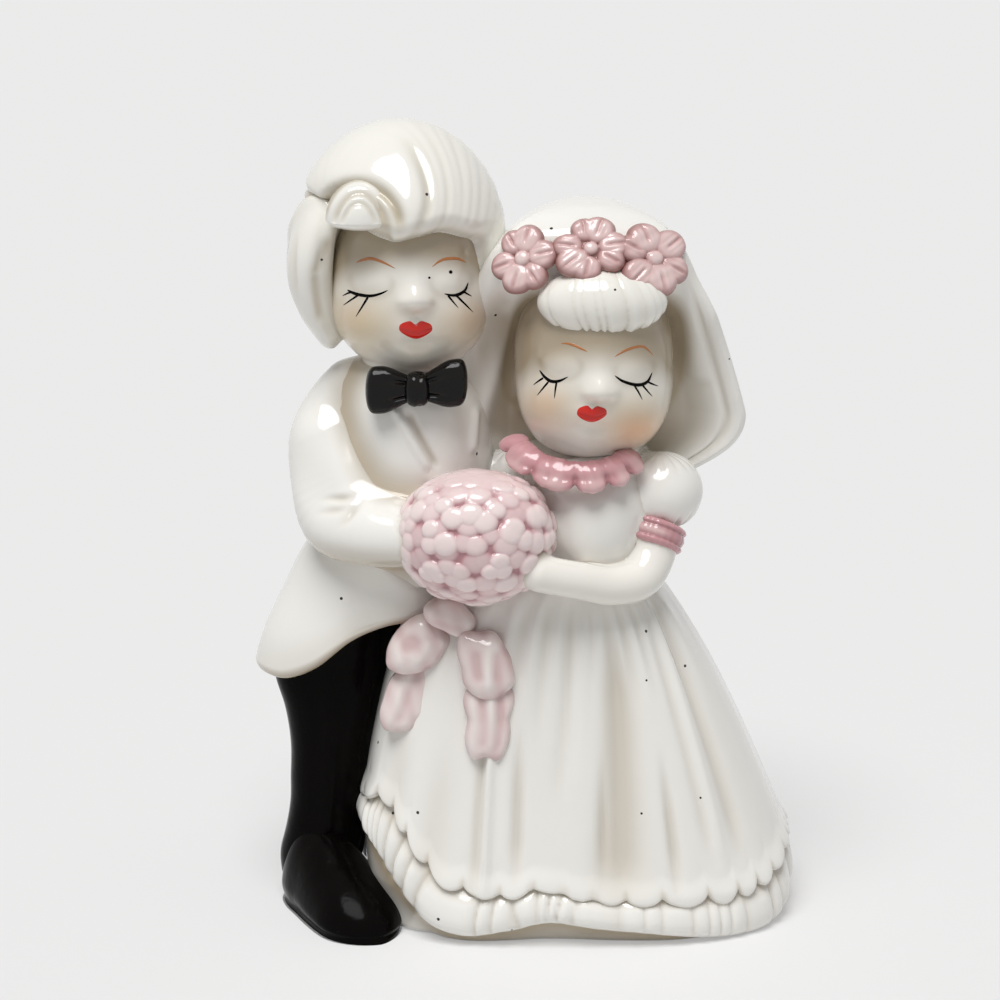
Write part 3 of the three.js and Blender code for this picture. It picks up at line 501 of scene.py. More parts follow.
def makeSkirt():
    # Rings from the waist to a scalloped hem, raised by folds, then turned under and closed inside.
    s, turn, rolled = skirt, skirt["turn"], skirt["turn"] + 0.05
    angle, v = ringGrid(s["rows"], s["cols"])
    lobes = s["scallops"] * hemShare(angle) + 0.3 * np.sin(3 * angle + 1) + 0.18 * np.sin(8 * angle)
    scallop = s["scallopDepth"] * crest(lobes) * (0.8 + 0.3 * np.sin(5 * angle))
    hem = s["hemZ"] + skirtLift(angle) - scallop + s["scallopUp"]
    z = mix(s["waistZ"], hem, between(0, turn, v))
    t = (s["waistZ"] - z) / (s["waistZ"] - s["hemZ"])
    right, left = skirtAxes(z)[:2]
    c = corner(np.cos(angle), skirtSquare(np.cos(angle), np.sin(angle)))
    front = skirtFolds(c, t, mix(left, right, ease(-0.5, 0.5, c)))
    rear = s["rearFold"] * t * np.sin(13 * angle + 0.8 * np.sin(2 * angle))
    fold = mix(front, rear, ease(-0.1, 0.35, np.sin(angle)))
    lip = s["lip"] * ease(3.6, 0.4, z - hem)
    fluted = s["fluting"] * (np.abs(np.sin(pi * lobes)) - 0.6) * ease(6.0, 0.5, z - hem)
    points = raised(skirtRing(angle, z), (fold + lip + fluted) * ease(0, 0.06, t))
    edge = points[round(turn * s["rows"])]
    bend = between(turn, rolled, v) * pi
    inward = unitOf((skirtRing(angle, hem, -4.0) - skirtRing(angle, hem, 0.0)) * [1, 1, 0])
    turned = edge[None] + inward * (s["hemRoll"] * (1 - np.cos(bend)))[..., None]
    turned[..., 2] -= s["hemDrop"] * np.sin(bend)
    middle = np.array([s["x"] + s["insideX"], 0, s["hemZ"] + s["insideUp"]])
    inner = mix(turned, middle, ease(rolled, 1.0, v)[..., None])
    inner[..., 2] += s["insideDome"] * np.sin(pi * between(rolled, 1.0, v))
    points = np.where(v[..., None] > turn, inner, points)
    points[0], points[-1] = [s["x"], -2, s["waistZ"] + 0.3], middle
    notch = bell(np.sin(pi * lobes), 0.3) * ease(1.6, 0.2, z - hem)
    # painted shade in the fold valleys, in the scallops' notches and under the turned hem
    hollow = np.clip(-fold * s["foldShade"], 0, s["foldMost"]) + s["notchShade"] * notch
    hollow = hollow + s["hemShade"] * ease(turn, turn + 0.04, v)
    addPiece("skirt", points, whiteGlaze, hollow=hollow)


makeSkirt()

frill = {
    "rows": 64, "cols": 1080, "turn": 0.8, "tuck": 2.0, "high": 5.0, "hemLength": 195.0,
    "pleats": 58, "pleatDepth": 0.75, "rearFoot": 1.0, "insideUp": 7.0,
    "pleatShade": 0.6, "topShade": 0.45, "footShade": 0.7,
    "fall": [0, 0.2, 0.42, 0.6, 0.8, 0.92, 1.0], "out": [-2.4, -1.2, 0.15, 0.7, 0.85, 0.6, 0.0],
    "footX": [-28.0, -27.2, -22.0, -16.9, -11.0, -4.0, 2.7, 9.0, 16.0, 24.0, 31.3, 37.0, 39.6, 41.5],
    "foot": [14.4, 14.2, 8.6, 3.6, 1.6, 2.5, 3.9, 3.1, 2.3, 1.1, 0.3, 0.6, 2.0, 4.4],
}


def frillFoot(angle):  # height of the frill's lower edge, read along x in front, and the slope of the hem
    fine, ring = hemRing()
    run = np.linalg.norm(np.gradient(ring[:, :2], axis=0), axis=1)
    slope = np.interp(angle, fine, np.gradient(skirtLift(fine)) / run)
    place = skirtRing(angle, skirt["hemZ"])
    front = glide(frill["footX"], frill["foot"], place[..., 0])
    rear = frill["rearFoot"] + skirtLift(angle)
    return mix(front, rear, ease(-2, 6, place[..., 1])), slope


def makeFrill():
    # A soft pleated roll under the hem: a bulging band whose pleats run square to its slanting edge.
    turn, rolled = frill["turn"], frill["turn"] + 0.08
    angle, v = ringGrid(frill["rows"], frill["cols"])
    foot, slope = frillFoot(angle)
    fall = between(0, turn, v)
    # a pleat's foot moves along the hem where the hem slopes
    slide = slope / np.sqrt(1 + slope ** 2) * frill["high"] * fall / frill["hemLength"]
    share = hemShare(angle) - slide
    count = frill["pleats"] * share + 0.5 * np.sin(44 * share) + 0.35 * np.sin(101 * share + 1)
    pleat = crest(count) - 0.65
    hemLine = skirt["hemZ"] + skirtLift(angle)
    ring = skirtRing(angle, hemLine)
    strength = mix(0.5 + 0.5 * ease(-0.4, 0.5, wander(share * 31, 0 * share, 3)), 1.0,
                   ease(-6, -16, ring[..., 0]))
    out = glide(frill["fall"], frill["out"], fall)
    out = (out + frill["pleatDepth"] * pleat * strength * ease(0.25, 0.5, fall)
           * (1 - 0.5 * ease(0.85, 1, fall)))
    points = skirtRing(angle, hemLine, out)
    points[..., 2] = mix(hemLine + frill["tuck"], foot + 0.25 * pleat * strength, fall)
    inner = skirtRing(angle, hemLine, -3.0)
    inner[..., 2] = foot + 1.2
    tuck = between(turn, rolled, v)[..., None]
    middle = np.array([skirt["x"] + skirt["insideX"], 0, skirt["hemZ"] + frill["insideUp"]])
    tucked = mix(points, inner, tuck ** 1.3)
    tucked[..., 2] -= 0.5 * np.sin(tuck[..., 0] * pi)
    points = np.where(v[..., None] > turn, mix(tucked, middle, ease(rolled, 1, v)[..., None]), points)
    points[0] = middle + np.array([0, 0, 3])
    # painted shade in the pleats' valleys, under the skirt's lip and on the tucked underside
    hollow = frill["pleatShade"] * np.clip(-pleat, 0, 1) * strength
    hollow = hollow + frill["topShade"] * (1 - ease(0.25, 0.5, fall))
    hollow = hollow + frill["footShade"] * ease(turn, turn + 0.06, v)
    addPiece("skirt_frill", points, whiteGlaze, hollow=hollow)


makeFrill()

base = {
    "rows": 100, "cols": 240, "inset": 1.0, "flare": 1.6, "deeper": 2.4, "topZ": 22.0, "round": 1.2,
    "ventX": -2.5, "ventRadius": 4.0, "ventDepth": 9.0, "shade": 0.15, "footShade": 0.85,
    # where each stretch of the profile ends or starts
    "lid": 0.1, "heel": 0.6, "under": 0.68, "vent": 0.84, "roof": 0.96,
}


def makeBase():
    # Profile from the middle over the top, down the wall, round the foot, inwards underneath and up the vent.
    b = base
    angle, v = ringGrid(b["rows"], b["cols"])
    foot = frillFoot(angle)[0]
    # the wall draws in where the frill rises clear of the floor
    low = b["inset"] + b["flare"] * ease(1.0, 4.0, foot)
    wall = skirtRing(angle, skirt["hemZ"], -low)
    heelIn = skirtRing(angle, skirt["hemZ"], -low - b["round"])
    centre = np.array([skirt["x"] + b["ventX"], 0, 0])
    vent = centre + b["ventRadius"] * np.stack([np.cos(angle), np.sin(angle), 0 * angle], -1)
    up = np.array([0, 0, 1.0])
    z = mix(b["topZ"], b["round"], between(b["lid"], b["heel"], v))
    hem = skirt["hemZ"] + skirtLift(angle)
    inset = mix(b["inset"], low, ease(foot + 1, 1, z)) + b["deeper"] * ease(-3.0, 1.0, z - hem)
    points = skirtRing(angle, z, -inset)
    bend = between(b["heel"], b["under"], v) * pi / 2
    heel = heelIn + (wall - heelIn) * np.cos(bend)[..., None]
    heel[..., 2] = b["round"] * (1 - np.sin(bend))
    under = mix(heelIn, vent, between(b["under"], b["vent"], v)[..., None]) * [1, 1, 0]
    hole = vent + up * (b["ventDepth"] * between(b["vent"], b["roof"], v))[..., None]
    roof = mix(vent, centre, between(b["roof"], 1, v)[..., None]) + up * b["ventDepth"]
    for first, stretch in (("heel", heel), ("under", under), ("vent", hole), ("roof", roof)):
        points = np.where((v > b[first])[..., None], stretch, points)
    lid = mix(centre + up * b["topZ"], points[round(b["lid"] * b["rows"])][None],
              between(0, b["lid"], v)[..., None])
    points = np.where((v < b["lid"])[..., None], lid, points)
    # painted shade: a little over the whole base, and more towards the foot
    hollow = b["footShade"] * bell(np.minimum(points[..., 2] - foot, 0), 3.0) + b["shade"]
    addPiece("base_shell", points, whiteGlaze, hollow=hollow)


makeBase()

print("skirt, frill and base made")


# Groom figure: legs and shoes

trouser = {
    "z": [4.0, 8.3, 14.0, 20.0, 25.0, 31.0, 36.0, 41.0, 47.0],
    "left": [-38.6, -38.4, -37.3, -36.9, -36.8, -37.6, -39.0, -39.4, -36.0],
    "right": [-26.5, -26.0, -25.4, -24.6, -24.0, -22.6, -21.6, -21.0, -20.5],
    "y": -1.4, "deep": 6.6, "ankle": 0.86, "seat": 0.1, "crease": 0.5, "wrinkle": 0.35, "paintEdge": 0.2,
    "ankleZ": (40.0, 12.0), "seatZ": (36.0, 46.0), "wrinkleZ": (22.0, 8.0), "grid": (160, 120),
    "shifts": {"groom_right_leg": (0.0, 0.0, 0.0), "groom_left_leg": (12.2, 7.2, 0.0)},
}
coat = {
    "z": [60.0, 56.6, 49.5, 42.4, 37.6, 34.0],
    "left": [-31.4, -33.9, -37.6, -40.8, -42.1, -42.3],
    "right": [-12.0, -11.0, -7.8, -5.4, -4.0, -3.5],
    "front": [9.0, 10.0, 11.4, 12.4, 12.6, 12.6], "back": [10.0, 11.5, 13.6, 15.0, 15.4, 15.4],
    "hemX": [-41.5, -37.0, -33.0, -27.7, -21.8, -15.0, -6.0],
    "hemZ": [38.4, 38.6, 40.6, 45.0, 47.4, 48.2, 48.4],
    "rearHemZ": 38.6, "rearRise": 4.0, "thick": 3.4, "square": 2.2, "gapSquare": 2.1, "middle": -25.0,
    "turn": 0.84, "grid": (150, 260), "slip": 3.0, "swing": 0.7, "dip": 0.8, "dipX": -25.5, "lipDrop": 1.3,
    "hemAbout": 40.0, "crownX": -21.0, "insideZ": 46.0, "lipShade": 0.95, "hemShade": 0.15,
}


def coatHem(x, y):  # front hem read along x, back hem level, eased over the side
    return mix(glide(coat["hemX"], coat["hemZ"], x), coat["rearHemZ"] + coat["rearRise"] * ease(-30, -10, x),
               ease(-3.0, 5.0, y))


def makeLeg(name, shift):
    # Rings between two side lines that glide down the leg; black stops at a ragged line under the coat.
    angle, v = ringGrid(*trouser["grid"])
    z = mix(trouser["z"][-1], trouser["z"][0], v)
    left, right = station(trouser, "left", z), station(trouser, "right", z)
    deep = trouser["deep"] * mix(1.0, trouser["ankle"], ease(*trouser["ankleZ"], z))
    deep = deep * (1 + trouser["seat"] * ease(*trouser["seatZ"], z))
    points = np.stack([(left + right) / 2 + (right - left) / 2 * np.cos(angle),
                       trouser["y"] + deep * np.sin(angle) * (1 + 0.05 * np.cos(2 * angle)), z], -1)
    crease = trouser["crease"] * bell(np.sin((angle + pi / 2) / 2) * 10, 1.0)  # pressed front crease
    wrinkle = trouser["wrinkle"] * wander(z * 0.8, angle * 2, 4) * ease(*trouser["wrinkleZ"], z)
    points = raised(points, crease + wrinkle)
    points += np.asarray(shift, float)
    points[0], points[-1] = points[0].mean(0), points[-1].mean(0)
    hem = coatHem(points[..., 0], points[..., 1])
    ragged = (0.5 * wander(points[..., 0] * 2.3, points[..., 1] * 2.1, 5)
              + 0.25 * wander(points[..., 0] * 6, points[..., 1] * 7, 6))
    bare = ease(-0.15, 0.15, points[..., 2] - hem - trouser["paintEdge"] + ragged)
    addPiece(name, points, blackEnamel, bare=bare)


for name, shift in trouser["shifts"].items():
    makeLeg(name, shift)

shoe = {
    "length": 28.0, "heelShare": 0.22, "grid": (130, 140),
    # where the ankle stands in x and y, and how far the toe turns, in degrees
    "places": {"groom_right_shoe": (-33.4, -2.5, 31.0), "groom_left_shoe": (-18.6, 7.2, 0.0)},
    "along": [0.0, 0.1, 0.25, 0.4, 0.6, 0.8, 1.0], "half": [3.8, 5.4, 6.2, 6.4, 6.9, 7.2, 6.2],
    "high": [9.0, 11.6, 13.4, 12.0, 9.2, 7.0, 5.4], "sole": 0.9,
    "square": 2.3, "ridge": 0.35, "welt": 0.25,
}


def makeShoe(name, x, y, turn):
    # Cross sections from heel to toe: an arch over a flat sole, closed roundly at both ends.
    angle, v = ringGrid(*shoe["grid"])
    share = (1 - np.cos(pi * v)) / 2
    ends = domed(2 * share - 1, 6) * domed(2 * share - 1) ** 0.35
    half = glide(shoe["along"], shoe["half"], share) * ends
    high = glide(shoe["along"], shoe["high"], share) * ends ** 0.8
    up = np.sin(angle)
    tuck = 1 - 0.1 * ease(0.25, 0.0, up) * (up > -0.2)
    z = np.where(up > 0, high * np.abs(up) ** 0.95, 0)
    wide = half * corner(np.cos(angle), shoe["square"]) * np.where(up < 0, 0.96, tuck)
    ridge = (shoe["ridge"] * bell(np.cos(angle), 0.22) * (up > 0) * ease(0.3, 0.5, share)
             * (1 - ease(0.75, 0.95, share)))
    long = shoe["length"] * (shoe["heelShare"] - share)
    local = np.stack([wide, long, z + ridge], -1)
    local[..., 2] += 0.15 * (up > 0) * ease(0, 3, z)
    t = radians(turn)
    points = np.stack([x + local[..., 0] * cos(t) - local[..., 1] * sin(t),
                       y + local[..., 0] * sin(t) + local[..., 1] * cos(t), local[..., 2]], -1)
    rim = bell(local[..., 2] - shoe["sole"], 0.3) * (up > 0)
    points[..., :2] -= normalsOf(points)[..., :2] * (shoe["welt"] * rim)[..., None]
    addPiece(name, points, blackEnamel)


for name, place in shoe["places"].items():
    makeShoe(name, *place)


# Groom figure: coat tails, jacket and sleeves

jacket = {
    "x": -18.4, "z": [87.0, 86.0, 84.4, 82.0, 79.0, 75.0, 70.0, 64.0, 58.0, 52.0],
    "left": [2.0, 4.6, 7.2, 9.0, 9.8, 9.8, 9.6, 9.6, 9.8, 10.2],
    "right": [2.0, 4.6, 7.4, 9.8, 11.4, 12.3, 12.7, 12.2, 11.4, 10.8],
    "front": [4.0, 6.6, 8.8, 10.4, 11.5, 12.2, 12.7, 12.6, 11.8, 11.0],
    "back": [3.4, 5.8, 7.8, 9.4, 10.6, 11.4, 11.6, 11.4, 11.0, 10.6], "square": 2.2,
    "grid": (170, 260), "slip": 3.6, "neckFillet": 1.4, "armShade": 0.95, "neckShade": 0.8, "cutShade": 0.6,
    # the lapel's ridge, the cut beside it and the front edge: a line, its width and its height
    "edges": [((-19.9, 79.2, -15.2, 70.8), 0.55, 0.6), ((-17.9, 78.6, -14.0, 71.2), 0.5, -0.55),
              ((-8.3, 78.0, -8.6, 72.5), 0.6, 0.5)],
}
rightArm = {
    "line": [(-24.4, -0.4, 83.2), (-28.6, -1.2, 78.8), (-31.5, -2.8, 73.6), (-31.3, -5.4, 67.4),
             (-28.8, -9.0, 61.7), (-24.2, -13.0, 61.0), (-14.4, -16.4, 61.4)],
    "radii": [3.8, 4.1, 4.3, 4.4, 5.0, 4.7, 4.2], "heart": np.array([-28.6, -7.2, 66.6]),
    "grid": (190, 190), "fillet": 1.0, "underShade": 0.6, "underShadeZ": (61.5, 57.0),
    # a crease: its middle in x and z, the direction across it, its depth; then the width and length of all
    "creases": [(-27.8, 66.4, (-0.2, 1.0), 0.5), (-26.4, 64.6, (-0.75, 0.65), 0.5),
                (-28.8, 64.7, (-0.3, 0.95), 0.35)],
    "creaseWidth": 0.5, "creaseLength": 1.9, "creaseShade": 0.7, "jacketShade": 0.65, "bouquetShade": 0.8,
    "crook": [(-31.4, -3.4, 76.4), (-28.0, -7.4, 69.0), (-22.6, -11.2, 62.6), (-15.0, -12.8, 60.6)],
    "crookRadii": [3.8, 4.0, 3.9, 3.2], "crookBlend": 3.0,
}
leftArm = {
    "line": [(-8.5, 4.0, 78.0), (-5.4, 8.6, 69.5), (-2.0, 11.0, 62.5), (8.6, 11.6, 61.6)],
    "radii": [4.8, 4.8, 4.6, 3.4], "grid": (100, 76), "slip": 3.0,
}
rightArmGap = limbGap(rightArm["line"], rightArm["radii"])
leftArmGap = limbGap(leftArm["line"], leftArm["radii"])
crookGap = limbGap(rightArm["crook"], rightArm["crookRadii"])  # the cloth that fills the crook of the elbow


def armGap(p):  # the sleeve and its filled crook, run together
    return softMin(rightArmGap(p), crookGap(p), rightArm["crookBlend"])


def jacketAxes(z, rightSide, rear):  # half width and half depth of the jacket's ring on each side
    half = np.where(rightSide, station(jacket, "right", z), station(jacket, "left", z))
    return half, np.where(rear, station(jacket, "back", z), station(jacket, "front", z))


def jacketGap(p):  # radial distance to the jacket, or the height above its neck
    x, y, z = p[..., 0] - jacket["x"], p[..., 1], p[..., 2]
    half, deep = jacketAxes(z, x > 0, y > 0)
    return np.maximum(ringGap(x, y, half, deep, jacket["square"]), z - jacket["z"][0])


def coatAxes(z, rear):  # middle, half width and half depth of the coat's ring
    left, right = station(coat, "left", z), station(coat, "right", z)
    deep = np.where(rear, station(coat, "back", z), station(coat, "front", z))
    return (left + right) / 2, (right - left) / 2, deep


def coatPlain(angle, z):  # the coat's ring at a height, before its folds
    middle, half, deep = coatAxes(z, np.sin(angle) > 0)
    return np.stack([middle + half * np.cos(angle), deep * corner(np.sin(angle), coat["square"]), z], -1)


def coatGap(p):  # radial distance to the coat, or the height above its waist
    x, y, z = np.moveaxis(p, -1, 0)
    middle, half, deep = coatAxes(z, y > 0)
    return np.maximum(ringGap(x - middle, y, half, deep, coat["gapSquare"]), z - coat["z"][0])


def makeCoat():
    # Rings that flare from the waist to a hem cut away towards the front, with a rounded lip turned under.
    angle, v = ringGrid(*coat["grid"])
    turn, rolled = coat["turn"], coat["turn"] + 0.1
    fall = between(0, turn, v)
    rough = coatPlain(angle, np.full(angle.shape, coat["hemAbout"]))
    hem = coatHem(rough[..., 0], rough[..., 1])
    z = mix(coat["z"][0], hem, fall)
    points = coatPlain(angle, z)
    swing = coat["swing"] * np.sin(7 * angle + 1.2) * fall * ease(0.0, 0.5, np.sin(angle))
    swing = (swing - coat["dip"] * bell(points[..., 0] - coat["dipX"], 3.0) * ease(0.3, 0.9, fall)
             * (np.sin(angle) < 0))
    points = luted(points, coat["slip"], coatGap, jacketGap)
    points = raised(points, swing)
    bend = between(turn, rolled, v)
    centre = np.array([coat["middle"], 0, 0])
    inward = unitOf((coatPlain(angle, hem) - centre) * [1, 1, 0])
    tucked = points - inward * (coat["thick"] * (1 - np.cos(bend * pi / 2)))[..., None]
    tucked[..., 2] -= coat["lipDrop"] * np.sin(bend * pi)
    points = np.where((v > turn)[..., None], tucked, points)
    middle = np.array([coat["middle"], 0, coat["insideZ"]])
    points = mix(points, middle, ease(rolled, 1, v)[..., None])
    points[0], points[-1] = [coat["crownX"], 0, coat["z"][0] + 0.5], middle
    # painted shade on the lip turned under the hem and a little above it
    hollow = coat["hemShade"] * ease(0.6, 0.82, v) * (1 - ease(0.82, 0.86, v))
    hollow = coat["lipShade"] * ease(0.82, 0.88, v) + hollow
    addPiece("jacket_tails", points, whiteGlaze, hollow=hollow)


makeCoat()

groomHead = {"centre": np.array([-17.5, -2.0, 97.8]), "radii": np.array([11.7, 13.0, 14.2])}
brideHead = {"centre": np.array([9.1, -5.5, 86.4]), "radii": np.array([11.9, 13.0, 14.0])}
groomHeadGap = ballGap(groomHead["centre"], groomHead["radii"])
brideHeadGap = ballGap(brideHead["centre"], brideHead["radii"])
bouquet = {"centre": np.array([-8.1, -16.4, 61.6]), "radii": np.array([11.2, 8.6, 9.7])}
bouquetGap = ballGap(bouquet["centre"], bouquet["radii"])


def makeJacket():
    # Rings from the neck down, luted to both sleeves, with the lapel's edges drawn as ridges and a cut.
    angle, v = ringGrid(*jacket["grid"])
    z = mix(jacket["z"][0], jacket["z"][-1], v)
    half, deep = jacketAxes(z, np.cos(angle) > 0, np.sin(angle) > 0)
    points = np.stack([jacket["x"] + half * corner(np.cos(angle), jacket["square"]),
                       deep * corner(np.sin(angle), jacket["square"]), z], -1)
    points = luted(points, jacket["slip"], jacketGap, armGap, leftArmGap)
    points = fillet(points, jacket["neckFillet"], groomHeadGap)
    front = np.sin(angle) < 0
    x, z = points[..., 0], points[..., 2]
    ridge, cut, edge = (lineRelief(x, z, line, width) for line, width, high in jacket["edges"])
    highs = [high for line, width, high in jacket["edges"]]
    points = raised(points, np.tensordot(highs, [ridge, cut, edge], 1) * front)
    points[0], points[-1] = [jacket["x"], -1, jacket["z"][0] + 0.2], [jacket["x"], 0, jacket["z"][-1]]
    # painted shade in the valley beside the sleeve, under the head and in the lapel's cut, where glaze also
    # pools
    shadeAndPool = jacket["armShade"] * ease(6.0, 0.2, armGap(points)) * front
    shadeAndPool = shadeAndPool + jacket["neckShade"] * ease(2.4, 0.2, groomHeadGap(points))
    addPiece("jacket_body", points, whiteGlaze, hollow=jacket["cutShade"] * cut * front + shadeAndPool)


makeJacket()


def makeRightSleeve():
    # One bent form with a filled crook, luted to the jacket, with short creases inside the elbow.
    points = castOut(rightArm["heart"], armGap, *rightArm["grid"])
    points = luted(points, jacket["slip"], armGap, jacketGap)
    points = fillet(points, rightArm["fillet"], bouquetGap)
    x, y, z = np.moveaxis(points, -1, 0)
    crease = 0.0 * x
    for creaseX, creaseZ, across, deep in rightArm["creases"]:
        dx, dz = x - creaseX, z - creaseZ
        over, down = dx * across[0] + dz * across[1], dx * across[1] - dz * across[0]
        short = bell(over, rightArm["creaseWidth"]) * bell(down, rightArm["creaseLength"])
        crease = crease - deep * short * ease(-6, -9, y)
    points = raised(points, crease)
    # painted shade against the jacket, in the elbow's creases and against the bouquet
    hollow = rightArm["jacketShade"] * ease(3.6, 0.0, jacketGap(points)) - rightArm["creaseShade"] * crease
    hollow = hollow + rightArm["bouquetShade"] * ease(0.8, 0.0, bouquetGap(points))
    hollow = hollow + rightArm["underShade"] * ease(*rightArm["underShadeZ"], z)  # painted shade along the underside of the forearm
    addPiece("jacket_right_sleeve", points, whiteGlaze, hollow=hollow)


makeRightSleeve()


def makeLeftSleeve():
    # A tube from the shoulder round the bride figure's back, luted to the jacket.
    points = limbGrid(leftArm["line"], leftArm["radii"], *leftArm["grid"], face=(0, 1, 0))
    points = luted(points, leftArm["slip"], leftArmGap, jacketGap)
    addPiece("jacket_left_sleeve", points, whiteGlaze)


makeLeftSleeve()

print("groom figure's clothes made")


# Heads

heads = {
    "grid": (200, 210), "fillet": 1.6, "lidHalf": (2.35, 1.75), "lidDrop": 0.3,
    # how far each feature stands out or sinks in
    "nose": 1.8, "bridge": 0.45, "nostril": 0.35, "lid": 0.6, "socket": 0.4, "cheek": 0.9, "lip": 0.75,
    "underLip": 0.3, "overLip": 0.3, "chin": 0.8,
    # how strongly shade is painted round the lids, under nose and chin, under the hair and at the sides
    "lidShade": 0.22, "noseShade": 0.45, "chinShade": 0.4, "hairShade": 0.95, "sideShade": 0.55,
}
groomFace = {
    "nose": (0.8, -1.7), "lips": (0.7, -6.2), "chin": (0.6, -10.2), "lids": [(-5.4, 0.7), (5.9, 0.8)],
    "cheeks": [(-6.2, -6.4), (7.0, -6.2)], "height": 14.2, "power": 2.6, "slim": 1.0, "broad": 0.07,
    "drop": 0.3, "mouth": 2.15, "shade": (1.0, 5.8),
    "blush": [(8.2, -5.2, 2.6, 0.2), (-7.6, -4.6, 2.2, 0.12)],
    "tan": [(-6.6, -6.0, 4.6, 0.85), (6.8, -6.2, 4.4, 0.6), (0.6, -9.4, 3.4, 0.35)],
    "specks": [(5.8, 1.8, 0.26), (2.8, 1.2, 0.18)],
}
brideFace = {
    "nose": (0.5, -2.8), "lips": (-0.6, -6.3), "chin": (-0.8, -11.6), "lids": [(-5.2, 0.8), (5.5, 0.0)],
    "cheeks": [(-6.6, -6.8), (6.2, -7.0)], "height": 14.0, "power": 3.0, "slim": 0.985, "broad": 0.0,
    "drop": 1.0, "mouth": 1.9, "shade": (-1.5, 4.4),
    "blush": [(5.0, -9.2, 2.8, 0.7), (-6.6, -5.4, 2.2, 0.35)],
    "tan": [(5.4, -8.0, 4.4, 0.75), (-6.6, -5.8, 4.2, 0.65)],
    "specks": [(8.6, 7.6, 0.2)], "neckZ": 66.0,
}


def headForm(face, x, y, z):
    # The ellipsoid with fuller cheeks: below the eyes the level half width follows a superellipse, whose
    # power is above 2, over the ellipse's. The left side is a little broader and the chin longer.
    low = np.clip(-z / face["height"], 0, 0.985)
    full = (1 - low ** face["power"]) ** (1 / face["power"]) / np.sqrt(1 - low ** 2)
    wide = x * face["slim"] * full * (1 + face["broad"] * ease(-4, -11, x))
    return np.stack([wide, y * mix(1, full, 0.4), z - face["drop"] * ease(-8, -14, z)], -1)


def lidReach(x, z):  # distance from the middle of a closed lid, 1 on its oval rim
    return np.hypot(x / heads["lidHalf"][0], (z + heads["lidDrop"]) / heads["lidHalf"][1])


def faceRelief(face, x, z):
    # Bells on the front of the head, in mm: nose, lids, sockets, cheeks, lips, chin and the dips between.
    nx, nz = face["nose"]
    lx, lz = face["lips"]
    relief = (heads["nose"] * bell(np.hypot((x - nx) / 1.1, z - nz), 1.7)
              + heads["bridge"] * bell(x - nx, 1.6) * bell(z - nz - 2.4, 2.2))
    for aside in (-1.7, 1.7):
        relief += heads["nostril"] * bell(np.hypot(x - nx - aside, z - nz + 0.4), 0.9)
    for ex, ez in face["lids"]:
        relief += (heads["lid"] * np.exp(-lidReach(x - ex, z - ez) ** 2.2)
                   - heads["socket"] * bell(np.hypot((x - ex) / 1.5, z - ez), 3.0))
    for cx, cz in face["cheeks"]:
        relief += heads["cheek"] * bell(np.hypot(x - cx, z - cz), 3.9)
    relief += (heads["lip"] * bell((x - lx) / 1.3, 1.6) * bell(z - lz, 1.35)
               - heads["underLip"] * bell(x - lx, 2.0) * bell(z - lz + 2.2, 0.7)
               - heads["overLip"] * bell(x - lx, 0.6) * bell(z - lz - 1.9, 0.8))
    cx, cz = face["chin"]
    return relief + heads["chin"] * bell(np.hypot((x - cx) / 1.3, z - cz), 2.1)


def headSkin(head, face, x, y, z, lift=0.0):
    # A place on the ellipsoid is moved to the full cheeks, then raised along the normal by the relief.
    r = head["radii"]
    normal = unitOf(np.stack([x, y, z], -1) / r ** 2)
    relief = faceRelief(face, x, z) * ease(0.02, 0.4, -y / r[1]) + lift
    return head["centre"] + headForm(face, x, y, z) + normal * relief[..., None]


def headPoint(head, face, x, z, lift):  # the front of a head over a place in its own x and z
    r = head["radii"]
    y = -r[1] * np.sqrt(np.clip(1 - (x / r[0]) ** 2 - (z / r[2]) ** 2, 1e-4, 1))
    return headSkin(head, face, x, y, z, lift)


def makeHead(name, head, face, gap):
    # The skin over a whole ball, tan and blush on the cheeks, painted shade under the hair, round the lids,
    # under nose and chin and at the sides.
    d = ballGrid(*heads["grid"], "front")
    r = head["radii"]
    x, y, z = np.moveaxis(d * r, -1, 0)
    points = headSkin(head, face, x, y, z)
    points = fillet(points, heads["fillet"], gap)
    tan, blush, hollow = 0 * x, 0 * x, 0 * x
    front = ease(-0.1, 0.3, -d[..., 1])
    for bx, bz, width, amount in face["blush"]:
        blush = np.maximum(blush, amount * bell(np.hypot((x - bx) / 1.15, z - bz), width))
    for bx, bz, width, amount in face["tan"]:
        tan = np.maximum(tan, amount * bell(np.hypot((x - bx) / 1.1, z - bz), width))
    # painted shade round the lids, under nose and chin, under the hair and at the sides
    for ex, ez in face["lids"]:
        rim = bell(lidReach(x - ex, z - ez) - 1.25, 0.25)
        hollow = hollow + heads["lidShade"] * rim * ease(1.5, -0.5, z - ez)
    nx, nz = face["nose"]
    hollow = hollow + heads["noseShade"] * bell(x - nx, 1.8) * bell(z - nz + 1.9, 0.7)
    hollow = hollow + heads["chinShade"] * ease(0.86, 1.0, -z / r[2])
    hollow = hollow + heads["hairShade"] * ease(*face["shade"], z + 0.03 * x * x)
    hollow = hollow + heads["sideShade"] * ease(0.78, 1.0, np.abs(x) / r[0])
    addPiece(name, points, fleshGlaze, hollow=hollow * front, tan=tan * front, blush=blush * front)


makeHead("groom_head", groomHead, groomFace, jacketGap)
makeHead("bride_head", brideHead, brideFace, lambda p: p[..., 2] - brideFace["neckZ"])

brush = {"grid": (40, 12), "lash": 0.06, "brow": 0.05, "dot": 0.06, "dotGrid": (12, 16)}


